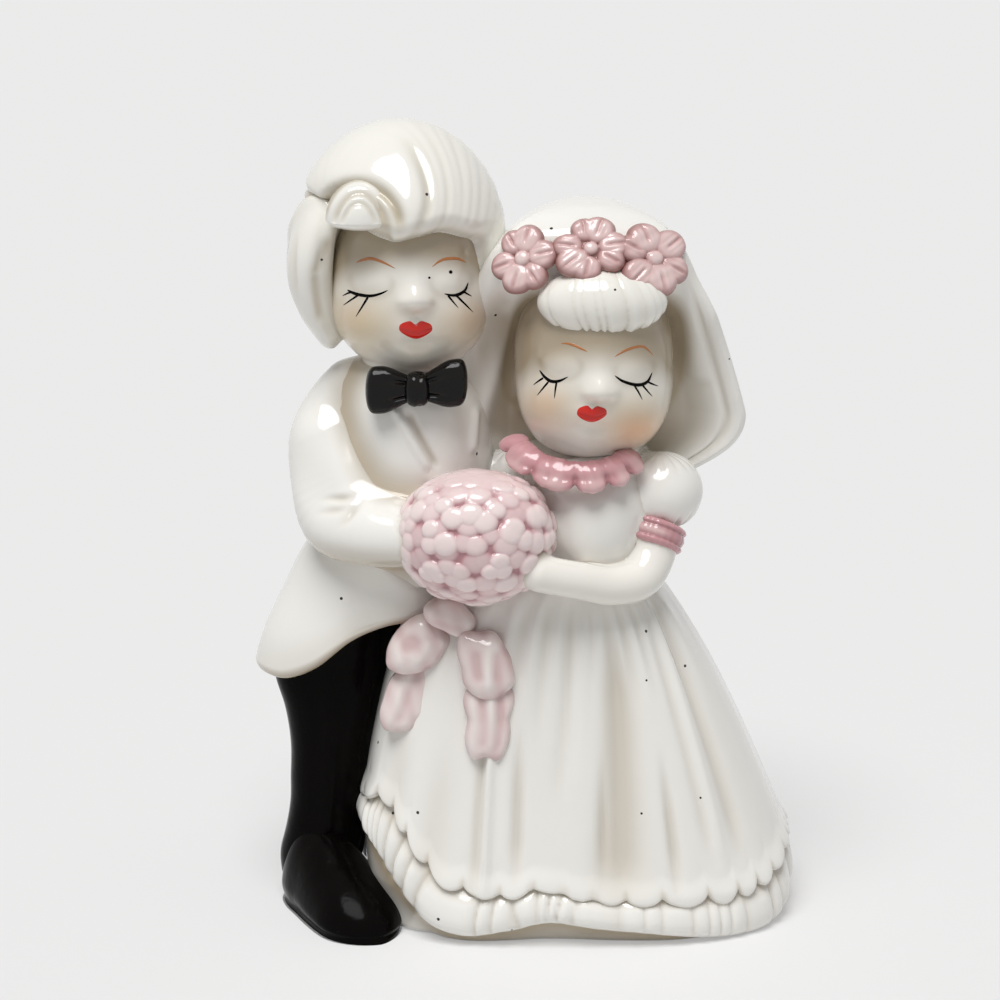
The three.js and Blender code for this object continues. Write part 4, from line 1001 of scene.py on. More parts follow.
def strokes(head, face, lines, high):
    # Brush strokes: a thin lens of enamel swept along a line on the face, tapered to both ends.
    grids = []
    for keys, widths in lines:
        keys = np.asarray(keys, float)
        angle, v = ringGrid(*brush["grid"])
        share = np.linspace(0, 1, len(keys))
        line = glide(share, keys, v[:, 0])
        width = glide(np.linspace(0, 1, len(widths)), widths, v[:, 0]) * domed(2 * v[:, 0] - 1, 8)
        tangent = unitOf(np.gradient(line, axis=0))
        side = np.stack([-tangent[:, 1], tangent[:, 0]], -1)
        flat = line[:, None] + side[:, None] * (width[:, None] * np.cos(angle))[..., None]
        grids.append(headPoint(head, face, flat[..., 0], flat[..., 1],
                               high * np.sin(angle) * np.minimum(1, width[:, None] / 0.15)))
    return grids


groomLines = {
    "lashes": [([(-8.7, -1.2), (-7.5, -1.55), (-5.7, -1.6), (-4.3, -1.2), (-3.1, -0.6)],
                [0.16, 0.24, 0.22, 0.16, 0.08]),
               ([(-8.0, -1.35), (-8.6, -1.7), (-9.2, -2.2)], [0.16, 0.12, 0.04]),
               ([(-7.1, -1.6), (-8.0, -2.5), (-8.9, -3.5)], [0.16, 0.12, 0.04]),
               ([(-5.8, -1.6), (-6.4, -3.1), (-7.0, -4.7)], [0.17, 0.13, 0.04]),
               ([(4.8, -1.2), (6.0, -1.55), (7.0, -1.45), (7.8, -1.0), (8.3, 0.0)],
                [0.1, 0.2, 0.24, 0.2, 0.1]),
               ([(5.3, -1.45), (5.9, -2.4), (6.5, -3.4)], [0.16, 0.12, 0.04]),
               ([(6.4, -1.5), (7.4, -2.9), (8.3, -4.3)], [0.17, 0.13, 0.04]),
               ([(7.5, -1.2), (8.0, -1.6), (8.6, -2.1)], [0.16, 0.12, 0.04])],
    "brows": [([(-7.6, 2.9), (-6.7, 3.4), (-5.5, 3.7), (-3.8, 3.3), (-2.0, 2.5)],
               [0.06, 0.17, 0.22, 0.18, 0.06]),
              ([(3.2, 2.7), (4.4, 3.5), (5.6, 3.7), (7.0, 3.5), (8.2, 2.8)], [0.06, 0.18, 0.22, 0.18, 0.06])],
}
brideLines = {
    "lashes": [([(-8.3, -0.7), (-7.5, -1.5), (-6.5, -2.0), (-5.4, -1.85), (-4.1, -1.1)],
                [0.12, 0.2, 0.24, 0.2, 0.08]),
               ([(-7.6, -1.7), (-8.2, -2.3), (-8.8, -3.0)], [0.16, 0.12, 0.04]),
               ([(-6.8, -2.1), (-7.4, -3.2), (-7.9, -4.3)], [0.16, 0.12, 0.04]),
               ([(-5.7, -2.0), (-5.7, -3.1), (-5.6, -4.3)], [0.16, 0.12, 0.04]),
               ([(2.5, -0.8), (3.8, -1.75), (5.8, -2.45), (7.3, -2.2), (8.2, -1.0)],
                [0.1, 0.2, 0.25, 0.22, 0.1]),
               ([(5.3, -2.4), (5.8, -3.5), (6.1, -4.6)], [0.16, 0.12, 0.04]),
               ([(6.4, -2.4), (7.0, -3.4), (7.6, -4.4)], [0.16, 0.12, 0.04]),
               ([(7.3, -2.2), (8.0, -2.7), (8.8, -3.2)], [0.16, 0.12, 0.04])],
    "brows": [([(-5.3, 3.5), (-4.3, 3.6), (-3.3, 3.4), (-2.3, 3.0), (-1.4, 2.6)],
               [0.05, 0.15, 0.2, 0.16, 0.05]),
              ([(2.5, 1.8), (3.8, 2.5), (5.5, 2.95), (7.0, 2.8), (8.5, 1.3)], [0.05, 0.17, 0.2, 0.16, 0.05])],
}
mouth = {"rise": 1.25, "drop": 1.3, "high": 0.3, "grid": (60, 48)}


def lipShape(head, face):
    # A cupid's bow over a fuller lower lip: u runs across, the ring goes over the top and back underneath.
    angle, v = ringGrid(*mouth["grid"])
    u = -np.cos(pi * v)
    ends = domed(u)
    upper = mouth["rise"] * ends ** 0.8 * (1 - 0.3 * bell(u, 0.24) + 0.12 * bell(np.abs(u) - 0.36, 0.25))
    lower = mouth["drop"] * ends ** 0.7 * (0.55 + 0.45 * bell(u, 0.6))
    up = np.cos(angle)
    z = np.where(up > 0, upper * up, lower * up) + 0.25 * u * u
    thick = mouth["high"] * ends * np.abs(np.sin(angle)) * np.sign(np.sin(angle))
    groove = -0.22 * bell(up + 0.05, 0.16) * (np.sin(angle) > 0) * ends
    lx, lz = face["lips"]
    return headPoint(head, face, lx + face["mouth"] * u, lz + z, thick + groove)


def kilnSpecks(head, face):  # flat black dots fired into the glaze
    angle, v = ringGrid(*brush["dotGrid"])
    return [headPoint(head, face, sx + size * np.sin(pi * v) * np.cos(angle),
                      sz + size * np.sin(pi * v) * np.sin(angle),
                      brush["dot"] * np.cos(pi * v)) for sx, sz, size in face["specks"]]


for who, head, face, lines in (("groom", groomHead, groomFace, groomLines),
                               ("bride", brideHead, brideFace, brideLines)):
    addPiece(who + "_lashes", strokes(head, face, lines["lashes"], brush["lash"]), blackEnamel)
    addPiece(who + "_brows", strokes(head, face, lines["brows"], brush["brow"]), brownEnamel)
    addPiece(who + "_lips", lipShape(head, face), redEnamel)
    addPiece(who + "_specks", kilnSpecks(head, face), blackEnamel)

print("heads made")


# Groom figure: hair and bow tie

hair = {
    "centre": np.array([-19.4, -1.6, 102.6]), "radii": np.array([15.7, 15.8, 17.6]),
    "lineX": [-33.0, -28.8, -27.1, -23.5, -19.7, -15.6, -11.6, -7.5, -5.1, -2.0],
    "lineZ": [107.6, 107.4, 107.0, 105.4, 104.4, 105.2, 105.8, 104.4, 104.0, 102.4],
    "ear": 1.0, "nape": 87.0, "rim": 2.6, "swirl": (-22.0, 111.3), "curl": (-24.6, 106.4),
    # arcs round the swirl: distance, depth and width in mm, and the middle and reach of the arc in radians
    "valleys": [(7.4, 0.8, 0.8, 0.1, 1.1), (8.9, 0.1, 0.3, 0.5, 0.7), (10.2, 0.22, 0.45, -0.1, 0.9),
                (11.3, 0.08, 0.25, 0.7, 0.6), (12.4, 0.14, 0.35, 0.2, 0.8), (13.7, 0.09, 0.3, -0.2, 0.6),
                (14.9, 0.15, 0.4, 0.3, 0.8), (16.3, 0.08, 0.3, 0.0, 0.6), (17.6, 0.13, 0.4, 0.3, 0.7),
                (19.4, 0.1, 0.4, 0.0, 0.7)],
    "parting": (-34.5, 110.8, -28.6, 106.8), "partingDepth": 0.9, "strand": 0.7, "comb": 0.03,
    "sideX": -6.2, "sideIn": 4.0, "tuckIn": 0.955, "soft": 1.5, "napeSoft": 1.2,
    "bang": (-17.4, 108.8), "bangWidth": 3.4, "bangHigh": 0.7, "archReach": 5.9, "archDepth": 1.1,
    "rearLocks": 9, "rearDepth": 0.6, "grid": (250, 310), "grooveShade": 0.75, "rimShade": 0.7,
}


def rayOut(centre, d, ball, radii):  # distance from an inner centre along d to an ellipsoid
    o, q = (centre - ball) / radii, d / radii
    a, b, c = (q * q).sum(-1), (q * o).sum(-1), (o * o).sum() - 1
    return (-b + np.sqrt(np.maximum(b * b - a * c, 0))) / a


def makeHair():
    # A cap round the skull: outside the hairline its radius dips under the face with a rounded rim.
    # Strands are arcs round the swirl over the right side, and run down from the crown behind.
    d = ballGrid(*hair["grid"])
    c = hair["centre"]
    outer = c + d / np.linalg.norm(d / hair["radii"], axis=-1, keepdims=True)
    under = c + d * (hair["tuckIn"] * rayOut(c, d, groomHead["centre"], groomHead["radii"]))[..., None]
    x, y, z = np.moveaxis(outer, -1, 0)
    above = z - glide(hair["lineX"], hair["lineZ"], x)
    right = x - hair["sideX"] - hair["sideIn"] * ease(98, 92, z)
    soft, napeSoft = hair["soft"], hair["napeSoft"]
    inside = np.logaddexp(np.logaddexp(above * soft, right * soft), (y - hair["ear"]) * soft) / soft
    inside = -np.logaddexp(-inside * napeSoft, -(z - hair["nape"]) * napeSoft) / napeSoft
    s = between(0, hair["rim"], inside)
    rim = domed(1 - s)
    behind = ease(-2.0, 5.0, y)
    swirlX, swirlZ = x - hair["swirl"][0], z - hair["swirl"][1]
    rho, phi = np.hypot(swirlX, swirlZ), np.arctan2(swirlZ, swirlX)
    path = rho + 0.4 * np.sin(2.2 * phi + 0.8)
    strand = sum(deep * bell(path - place, width) * bell(phi - middle, reach)
                 for place, deep, width, middle, reach in hair["valleys"])
    strand = hair["strand"] * strand * ease(-20.5, -15.5, x) * (1 - behind)
    comb = hair["comb"] * wander(path * 5.2, phi * 2.5, 8) * ease(4, 8, path) * (1 - behind)
    fromBang = np.hypot(x - hair["bang"][0], z - hair["bang"][1])
    bang = hair["bangHigh"] * bell(fromBang, hair["bangWidth"]) * (1 - behind)
    near = np.hypot(x - hair["curl"][0], z - hair["curl"][1])
    arch = hair["archDepth"] * bell(near - hair["archReach"], 0.8) * ease(104.5, 108.5, z)
    arch = (arch + 0.9 * ease(5.4, 3.8, near)) * (1 - behind)
    parting = lineRelief(x, z, hair["parting"], 0.9)
    azimuth = np.arctan2(d[..., 0], d[..., 1])
    locks = azimuth * hair["rearLocks"] / pi
    combed = 1 - crest(locks + 0.25 * np.sin(z * 0.25) + 0.1 * np.sin(z * 0.6 + azimuth * 3))
    combed = hair["rearDepth"] * combed * behind * (1 - 0.8 * ease(0.9, 1.0, np.abs(d[..., 2])))
    outer[..., 1] = c[1] + (y - c[1]) * mix(1, 0.6, ease(-25, -32, x) * ease(2, -4, y) * ease(114, 106, z))
    groove = strand + arch + hair["partingDepth"] * parting * (1 - behind) + combed
    points = raised(mix(under, outer, rim[..., None]), (bang - groove + comb) * rim)
    # painted shade in the grooves and just inside the rim, where glaze also pools
    hollow = np.clip(hair["grooveShade"] * groove + hair["rimShade"] * bell(s - 0.1, 0.15), 0, 1) * rim
    addPiece("groom_hair", points, hairGlaze, hollow=hollow)


makeHair()

curl = {"centre": np.array([-24.5, -12.2, 107.0]), "radii": np.array([5.0, 4.9, 5.7]), "under": 1.5,
        "grid": (150, 160), "grooveShade": 1.1, "edgeShade": 0.8,
        "grooves": [(0.72, 0.45, 0.09), (0.48, 0.3, 0.08)]}


def makeCurl():
    # A rolled lock: half a dome over the brow, its front cut by concentric arcs.
    d = ballGrid(*curl["grid"], "front")
    points = curl["centre"] + d * curl["radii"]
    points[..., 2] = curl["centre"][2] + d[..., 2] * np.where(d[..., 2] > 0, curl["radii"][2], curl["under"])
    rho = np.hypot(d[..., 0], d[..., 2]) + 0.03 * np.sin(3 * np.arctan2(d[..., 2], d[..., 0]))
    groove = sum(deep * bell(rho - place, width) for place, deep, width in curl["grooves"])
    groove = groove * ease(-0.15, 0.25, d[..., 2]) * (d[..., 1] < 0)
    points = raised(points, -groove)
    # painted shade in the arcs and along the curl's rim
    edge = curl["edgeShade"] * ease(0.9, 1.0, rho) * ease(-0.2, 0.3, d[..., 2])
    addPiece("hair_curl", points, hairGlaze, hollow=curl["grooveShade"] * groove + edge)


makeCurl()

sideLock = {
    "line": [(-28.8, -3.4, 108.6), (-31.1, -4.2, 104.8), (-32.3, -4.4, 101.0), (-32.6, -4.2, 97.0),
             (-31.9, -4.0, 93.4), (-30.5, -3.8, 89.9), (-29.0, -4.0, 86.9)],
    "radii": [2.6, 3.1, 3.3, 3.1, 2.6, 1.9, 1.2], "flat": 1.8, "grid": (140, 100),
    "capFillet": 1.6, "headFillet": 2.0, "strandWidth": 0.7, "strandDepth": 0.2,
    "combs": 5.5, "combDepth": 0.35, "grooveShade": 0.4, "headShade": 0.8, "capShade": 0.4,
    "strands": [(-29.4, 103.6, -31.3, 98.6), (-31.3, 98.6, -30.8, 92.0)],
}
capGap = ballGap(hair["centre"], hair["radii"] * [1, 0.62, 1])  # the cap without its forelock


def makeSideLock():
    # A soft lock from the temple to the jaw that narrows to a point, grooved in front and combed at its side.
    points = limbGrid(sideLock["line"], sideLock["radii"], *sideLock["grid"], sideLock["flat"])
    points = fillet(points, sideLock["capFillet"], capGap)
    points = fillet(points, sideLock["headFillet"], groomHeadGap)
    x, z = points[..., 0], points[..., 2]
    strand = (np.maximum(*(lineRelief(x, z, line, sideLock["strandWidth"]) for line in sideLock["strands"]))
              * (points[..., 1] < -4))
    around = np.linspace(0, sideLock["combs"], points.shape[1], endpoint=False)[None]
    along = np.linspace(0, 1, points.shape[0])[:, None]
    combed = 1 - crest(around + 0.3 * np.sin(5 * along + 0.6))
    combed = combed * np.sin(pi * along) * ease(-33.5, -34.6, x)
    points = raised(points, -sideLock["strandDepth"] * strand - sideLock["combDepth"] * combed)
    # painted shade in the combing, in the strand groove and where the lock meets the face and the cap
    hollow = sideLock["grooveShade"] * combed + sideLock["headShade"] * ease(1.4, 0.0, groomHeadGap(points))
    hollow = hollow + sideLock["capShade"] * ease(0.8, 0.0, capGap(points)) + sideLock["grooveShade"] * strand
    addPiece("hair_side_lock", points, hairGlaze, hollow=hollow)


makeSideLock()

bowTie = {"centre": np.array([-16.7, -12.8, 82.6]), "span": 7.4, "half": 3.5, "deep": 2.0,
          "knot": np.array([1.95, 2.3, 2.55]), "knotShift": (0.1, -0.5, 0.0),
          "wings": {"bow_tie_left_wing": (-1, -0.3), "bow_tie_right_wing": (1, 1.1)},  # side and rise
          "wingGrid": (90, 90), "knotGrid": (70, 90), "knotSquare": 2.5,
          "wingSquare": 2.6, "fold": 0.55, "pinch": 0.3}


def makeWing(name, side, tilt):
    # A pillow that grows from the knot to a square end, with pinched folds fanning out of the knot.
    angle, v = ringGrid(*bowTie["wingGrid"])
    share = (1 - np.cos(pi * v)) / 2
    end = domed(between(0.72, 1.0, share), 4) * np.sqrt(between(0, 0.05, share))
    tall = bowTie["half"] * mix(0.5, 1.0, ease(0, 0.7, share)) * end
    deep = bowTie["deep"] * mix(0.75, 1.0, ease(0, 0.5, share)) * end
    up, out = corner(np.cos(angle), bowTie["wingSquare"]), np.sin(angle)
    z = tall * up + tilt * share
    x = side * bowTie["span"] * share
    fan = np.cos(angle)
    fold = (-bowTie["fold"] * (bell(fan - 0.42, 0.14) + bell(fan + 0.35, 0.13)) * (1 - ease(0.35, 0.8, share))
            * ease(0.02, 0.1, share))
    points = bowTie["centre"] + np.stack([x, -(deep + fold * (out > 0)) * out, z], -1)
    addPiece(name, points, tieEnamel)


for name, (side, tilt) in bowTie["wings"].items():
    makeWing(name, side, tilt)


def makeTieKnot():
    # A squared ball over the wings' roots, pinched down its middle.
    d = ballGrid(*bowTie["knotGrid"], "front")
    points = bowTie["centre"] + bowTie["knotShift"] + corner(d, bowTie["knotSquare"]) * bowTie["knot"]
    pinch = -bowTie["pinch"] * bell(d[..., 0] - 0.15, 0.16) * (d[..., 1] < 0) * np.abs(d[..., 2])
    addPiece("bow_tie_knot", raised(points, pinch), tieEnamel)


makeTieKnot()

print("hair and bow tie made")


# Bride figure: bodice, sleeves and arm

bodice = {
    "x": 8.7, "y": -1.0, "z": [74.0, 72.0, 69.0, 66.0, 63.0, 60.0, 56.0, 50.0],
    "half": [5.0, 8.0, 10.0, 10.6, 10.6, 10.0, 8.7, 7.6],
    "front": [7.0, 10.5, 13.5, 15.6, 16.4, 16.2, 14.4, 12.2],
    "back": [4.0, 6.0, 7.4, 8.0, 8.2, 8.4, 8.4, 8.2],
    "grid": (130, 200), "slip": 2.0, "fillet": 1.6, "puffShade": 0.5, "armShade": 0.6,
}


def bodiceAxes(z, rear):  # half width and half depth of the bodice's ring
    return station(bodice, "half", z), np.where(rear, station(bodice, "back", z), station(bodice, "front", z))


def bodiceGap(p):  # radial distance to the bodice, or the height above its neck
    x, y, z = p[..., 0] - bodice["x"], p[..., 1] - bodice["y"], p[..., 2]
    half, deep = bodiceAxes(z, y > 0)
    return np.maximum(ringGap(x, y, half, deep, 2), z - bodice["z"][0])


brideArm = {
    "line": [(18.6, -8.6, 63.0), (18.0, -10.6, 60.0), (17.4, -12.0, 57.2), (15.8, -14.4, 54.8),
             (12.0, -16.8, 54.2), (6.5, -19.0, 55.6), (-1.5, -20.6, 57.6)],
    "radii": [3.6, 3.7, 3.5, 3.2, 2.85, 2.7, 2.75],
    "grid": (150, 100), "skirtFillet": 0.5, "bouquetFillet": 1.4, "bodiceShade": 0.5, "bouquetShade": 0.7,
}
brideArmGap = limbGap(brideArm["line"], brideArm["radii"])
puff = {"centre": np.array([19.1, -7.4, 66.2]), "radii": np.array([6.2, 6.2, 5.7])}
puffGap = ballGap(puff["centre"], puff["radii"])
puffs = {"grid": (120, 150), "gathers": 8, "lowDepth": 0.5, "highDepth": 0.3, "gatherShade": 0.6}
rearPuff = {"centre": np.array([-2.4, -2.5, 66.4]), "radii": np.array([4.6, 5.0, 5.2])}


def makeBodice():
    # Elliptic rings from the neck to the waist, luted to the puff sleeve and the arm.
    angle, v = ringGrid(*bodice["grid"])
    z = mix(bodice["z"][0], bodice["z"][-1], v)
    half, deep = bodiceAxes(z, np.sin(angle) > 0)
    points = np.stack([bodice["x"] + half * np.cos(angle), bodice["y"] + deep * np.sin(angle), z], -1)
    points = luted(points, bodice["slip"], bodiceGap, puffGap, brideArmGap)
    points = fillet(points, bodice["fillet"], skirtGap, bouquetGap)
    points[0], points[-1] = [bodice["x"], -3, bodice["z"][0] + 0.2], [bodice["x"], -3, bodice["z"][-1]]
    # painted shade where the bodice meets the puff sleeve and the arm
    hollow = bodice["puffShade"] * ease(1.2, 0, puffGap(points))
    hollow = hollow + bodice["armShade"] * ease(1.4, 0, brideArmGap(points))
    addPiece("bodice", points, whiteGlaze, hollow=hollow)


makeBodice()


def makePuff(name, form, gaps):
    # A puffed ball gathered at the shoulder and above the band.
    d = ballGrid(*puffs["grid"])
    points = form["centre"] + d * form["radii"]
    points = luted(points, bodice["slip"], ballGap(form["centre"], form["radii"]), *gaps)
    azimuth = np.arctan2(d[..., 1], d[..., 0])
    up = d[..., 2]
    deep = puffs["lowDepth"] * ease(-0.3, -0.75, up) + puffs["highDepth"] * ease(0.5, 0.9, up)
    gather = crest(azimuth * puffs["gathers"] / pi + 0.3 * np.sin(2 * azimuth)) - 0.5
    gather = gather * deep * (1 - up ** 8)
    # painted shade in the gathers' valleys
    addPiece(name, raised(points, gather), whiteGlaze, hollow=-puffs["gatherShade"] * gather)


makePuff("left_puff_sleeve", puff, [bodiceGap])
makePuff("right_puff_sleeve", rearPuff, [bodiceGap, jacketGap])

band = {"centre": np.array([17.9, -10.3, 60.2]), "axis": (-0.3, -0.38, -0.87), "radius": 4.7, "length": 4.0,
        "grid": (100, 170), "groove": 0.3, "groovePlace": 0.4, "pleats": 26, "pleat": 0.03,
        "grooveShade": 1.4, "paleAndHighlight": 0.8}


def makeBand():
    # A cuff round the arm: a short drum with rounded rims, two grooves and fine pleats.
    angle, v = ringGrid(*band["grid"])
    axis = unitOf(np.asarray(band["axis"], float))
    side = unitOf(np.cross(axis, np.array([0, 1.0, 0])))
    out = np.cross(side, axis)
    across = corner(np.cos(pi * v), 6)
    reach = band["radius"] * np.abs(np.sin(pi * v)) ** 0.3
    wall = ease(0.75, 0.9, np.abs(np.sin(pi * v)))
    place = band["groovePlace"]
    groove = -band["groove"] * (bell(across - place, 0.12) + bell(across + place, 0.12))
    groove = (groove + band["pleat"] * np.sin(band["pleats"] * angle)) * wall
    reach = reach + groove
    points = (band["centre"] + (across * band["length"] / 2)[..., None] * axis
              + (reach * np.cos(angle))[..., None] * side + (reach * np.sin(angle))[..., None] * out)
    # paler in the middle on the left half as a painted highlight, and painted shade in the grooves
    crown = band["paleAndHighlight"] * bell(across, 0.25) * wall * ease(20.5, 18.5, points[..., 0])
    addPiece("sleeve_band", points, roseEnamel, hollow=-band["grooveShade"] * groove, crown=crown)


makeBand()


def makeArm():
    # A bent tube from the sleeve band into the bouquet, luted to the bodice, filleted to skirt and bouquet.
    points = limbGrid(brideArm["line"], brideArm["radii"], *brideArm["grid"])
    points = luted(points, bodice["slip"], brideArmGap, bodiceGap)
    points = fillet(fillet(points, brideArm["skirtFillet"], skirtGap), brideArm["bouquetFillet"], bouquetGap)
    # painted shade where the arm meets the bodice and the bouquet
    shadeAndPool = brideArm["bodiceShade"] * ease(1.2, 0, bodiceGap(points))
    shadeAndPool = shadeAndPool + brideArm["bouquetShade"] * ease(1.0, 0.0, bouquetGap(points))
    addPiece("bride_left_arm", points, fleshGlaze, hollow=shadeAndPool)


makeArm()

collar = {
    "line": [(-2.9, -8.6, 74.6), (-2.1, -12.0, 73.4), (1.2, -15.8, 71.6), (6.0, -17.6, 70.8),
             (10.4, -16.9, 71.0), (13.5, -14.2, 71.9), (15.0, -11.0, 72.8)],
    "half": 2.2, "thick": 0.95, "lobes": 6, "grid": (330, 72), "face": (0.0, -0.85, 0.5),
    "cut": 0.34, "cup": 0.55, "pleat": 0.16, "dip": 0.3, "crinkle": (0.09, 0.05),
    # how strongly shade is painted in each hollow, and how strongly highlight is painted on what stands out
    "notchShade": 1.1, "neckShade": 0.8, "dipShade": 0.25,
    "lobeHighlight": 1.1, "crinkleHighlight": 1.5, "mostHighlight": 0.8,
}


def makeCollar():
    # A flat ruffle hung round the neck: its outer edge is cut into petals, each softly cupped and crinkled.
    line = np.asarray(collar["line"], float)
    points = limbGrid(line, np.full(len(line), collar["half"]), *collar["grid"],
                      collar["thick"] / collar["half"], collar["face"])
    rows = np.linspace(0, 1, points.shape[0])
    share = ((1 - np.cos(pi * rows)) / 2)[:, None]
    centre = points.mean(1, keepdims=True)
    across = (points - centre)[..., 2] / collar["half"]
    turn = collar["lobes"] * share + 0.28 * np.sin(7 * share + 0.5)
    lobe = crest(turn) + 0 * across
    outer = ease(0.6, -0.5, across)
    points = centre + (points - centre) * (1 + collar["cut"] * outer * (lobe - 0.6))[..., None]
    pleat = crest(3 * turn + 0.25 * np.sin(11 * share) + 0.3 * wander(across * 2, share * 9, 3))
    fold = (collar["cup"] * (lobe - 0.6) * ease(0.95, -0.1, across) + collar["pleat"] * (pleat - 0.6) * outer
            - collar["dip"] * bell(across + 0.1, 0.3))
    coarse, fine = collar["crinkle"]
    crinkle = coarse * wander(share * 60, across * 3.1, 7) + fine * wander(share * 130, across * 5.3, 9)
    points = raised(points, (fold + crinkle) * np.sin(pi * share) ** 0.3)
    # painted shade in the notches, at the neck and along the dip; painted highlight on the lobes and crinkles
    dark = (collar["notchShade"] * np.clip(0.6 - lobe, 0, 1) * outer
            + collar["neckShade"] * ease(0.4, 0.95, across) + collar["dipShade"] * bell(across + 0.1, 0.25))
    paleAndHighlight = collar["lobeHighlight"] * (lobe - 0.5) * outer + collar["crinkleHighlight"] * crinkle
    addPiece("collar_ruffle", points, roseEnamel, hollow=dark, crown=np.clip(paleAndHighlight, 0, collar["mostHighlight"]))


makeCollar()

print("bride figure's dress made")


# Bride figure: fringe, wreath and veil

fringe = {"centre": np.array([9.9, -14.0, 95.4]), "radii": np.array([9.3, 5.2, 5.0]), "locks": 9,
          "grid": (120, 260), "lowDepth": 0.5, "highDepth": 0.2, "tip": 0.35, "grooveShade": 1.1}


def makeFringe():
    # A puffed roll over the brow, parted into soft locks that fan out from the wreath and end in small tips.
    d = ballGrid(*fringe["grid"])
    points = fringe["centre"] + d * fringe["radii"]
    fan = d[..., 0] / np.sqrt(np.clip(1 - (0.8 * d[..., 2]) ** 2, 0.15, 1)) + 0.1 * d[..., 2]
    count = (fan + 0.09 * np.sin(fan * 6 + 1) + 0.04 * np.sin(fan * 15) + 1) * fringe["locks"] / 2
    wave = 0.85 * crest(count) ** 0.7 + 0.15 * crest(2 * count + 0.3)
    front = ease(0.25, -0.2, d[..., 1])
    uneven = 0.65 + 0.35 * wander(fan * 8, d[..., 2] * 1.5, 3)
    deep = mix(fringe["lowDepth"], fringe["highDepth"], ease(-0.7, 0.4, d[..., 2]))
    groove = (wave - 1) * uneven * front * deep * ease(1.0, 0.9, np.abs(d[..., 0]))
    tips = fringe["tip"] * (1 - wave) * ease(-0.2, -0.8, d[..., 2]) * front
    points = raised(points, groove)
    points[..., 2] += tips
    # painted shade in the grooves between the locks
    addPiece("bride_fringe", points, hairGlaze, hollow=-fringe["grooveShade"] * groove)


makeFringe()

flowers = {
    "wreath_flower_left": {"seat": (-1.2, -12.8, 101.3), "out": (-0.34, -0.87, 0.36), "petals": 6,
                           "ring": 2.9, "size": 2.1, "heart": 1.2, "turn": 0.3, "wide": 1.04},
    "wreath_flower_middle": {"seat": (8.2, -14.2, 102.9), "out": (0.0, -0.88, 0.48), "petals": 7, "ring": 3.0,
                             "size": 2.0, "heart": 1.0, "turn": 0.2, "wide": 1.12},
    "wreath_flower_right": {"seat": (17.0, -12.8, 101.3), "out": (0.40, -0.83, 0.40), "petals": 6,
                            "ring": 3.1, "size": 2.3, "heart": 1.2, "turn": 0.6, "wide": 1.16},
}
petals = {"grid": (90, 190), "front": 0.72, "high": 0.42, "edge": 0.5, "dish": 2.6,
          "crease": 0.34, "vein": 0.06, "uneven": 0.07,
          "lowShade": 1.05, "shadeFall": 1.25, "highlightFrom": 0.6, "highlightGain": 1.6, "mostHighlight": 0.7}


def makeFlower(name, look):
    # Polar grid over a disc: the height is the tallest of the petals' flat cushions and the heart's,
    # the rim is where the petals' circles end, and the back is a shallow dish.
    angle, v = ringGrid(*petals["grid"])
    n = np.arange(look["petals"])
    turns = look["turn"] + n * 2 * pi / look["petals"] + 0.18 * np.sin(n * 2.3)
    sizes = look["size"] * (1 + 0.1 * np.sin(n * 1.9 + look["turn"]))
    centres = look["ring"] * np.stack([np.cos(turns), np.sin(turns)], -1)
    away = angle[..., None] - turns
    root = sizes ** 2 - (look["ring"] * np.sin(away)) ** 2
    rim = np.where(root > 0, look["ring"] * np.cos(away) + np.sqrt(np.clip(root, 0, None)), 0).max(-1)
    rim = np.maximum(rim, look["ring"] * 0.98) * (1 + 0.02 * wander(angle * 9, 0 * v, 4))
    front = v <= petals["front"]
    behind = between(petals["front"], 1, v)
    rho = rim * np.where(front, np.sin(between(0, petals["front"], v) * pi / 2), 1 - behind)
    px, py = rho * np.cos(angle), rho * np.sin(angle)
    apart = np.hypot(px[..., None] - centres[:, 0], py[..., None] - centres[:, 1]) / sizes
    aside = rho[..., None] * np.sin(away)
    crease = petals["crease"] * bell(aside, 0.28) + petals["vein"] * bell(np.abs(aside) - 0.85, 0.22)
    crease = crease * (np.cos(away) > 0) * ease(0.3, 0.55, rho / rim)[..., None]
    petal = (sizes * petals["high"] * domed(apart, 3) - crease * np.clip(1 - apart, 0, 0.5) * 2).max(-1)
    heart = look["heart"] * 0.8 * domed(rho / look["heart"]) + 0.2
    height = np.maximum(petal, np.where(rho < look["heart"], heart, 0.1)) + petals["edge"]
    height = height + petals["uneven"] * wander(px * 3.1, py * 3.3, 6) * front
    height = height * domed(rho / rim, 12)
    height = np.where(front, height, -petals["dish"] * np.sin(behind * pi / 2))
    out = unitOf(np.asarray(look["out"], float))
    side = unitOf(np.cross(np.array([0, 0, 1.0]), out))
    rise = np.cross(out, side)
    points = (np.asarray(look["seat"]) + look["wide"] * px[..., None] * side + py[..., None] * rise
              + height[..., None] * out)
    # painted shade low between the petals, painted highlight on their tall parts
    tall = np.clip((height - petals["edge"]) / (sizes.max() * petals["high"]), 0, 1.2)
    dark = np.clip(petals["lowShade"] - petals["shadeFall"] * tall, 0, 1)
    paleAndHighlight = np.clip(petals["highlightGain"] * (tall - petals["highlightFrom"]), 0, petals["mostHighlight"])
    addPiece(name, points, dustyEnamel, hollow=dark * front, crown=paleAndHighlight * front)


for name, look in flowers.items():
    makeFlower(name, look)

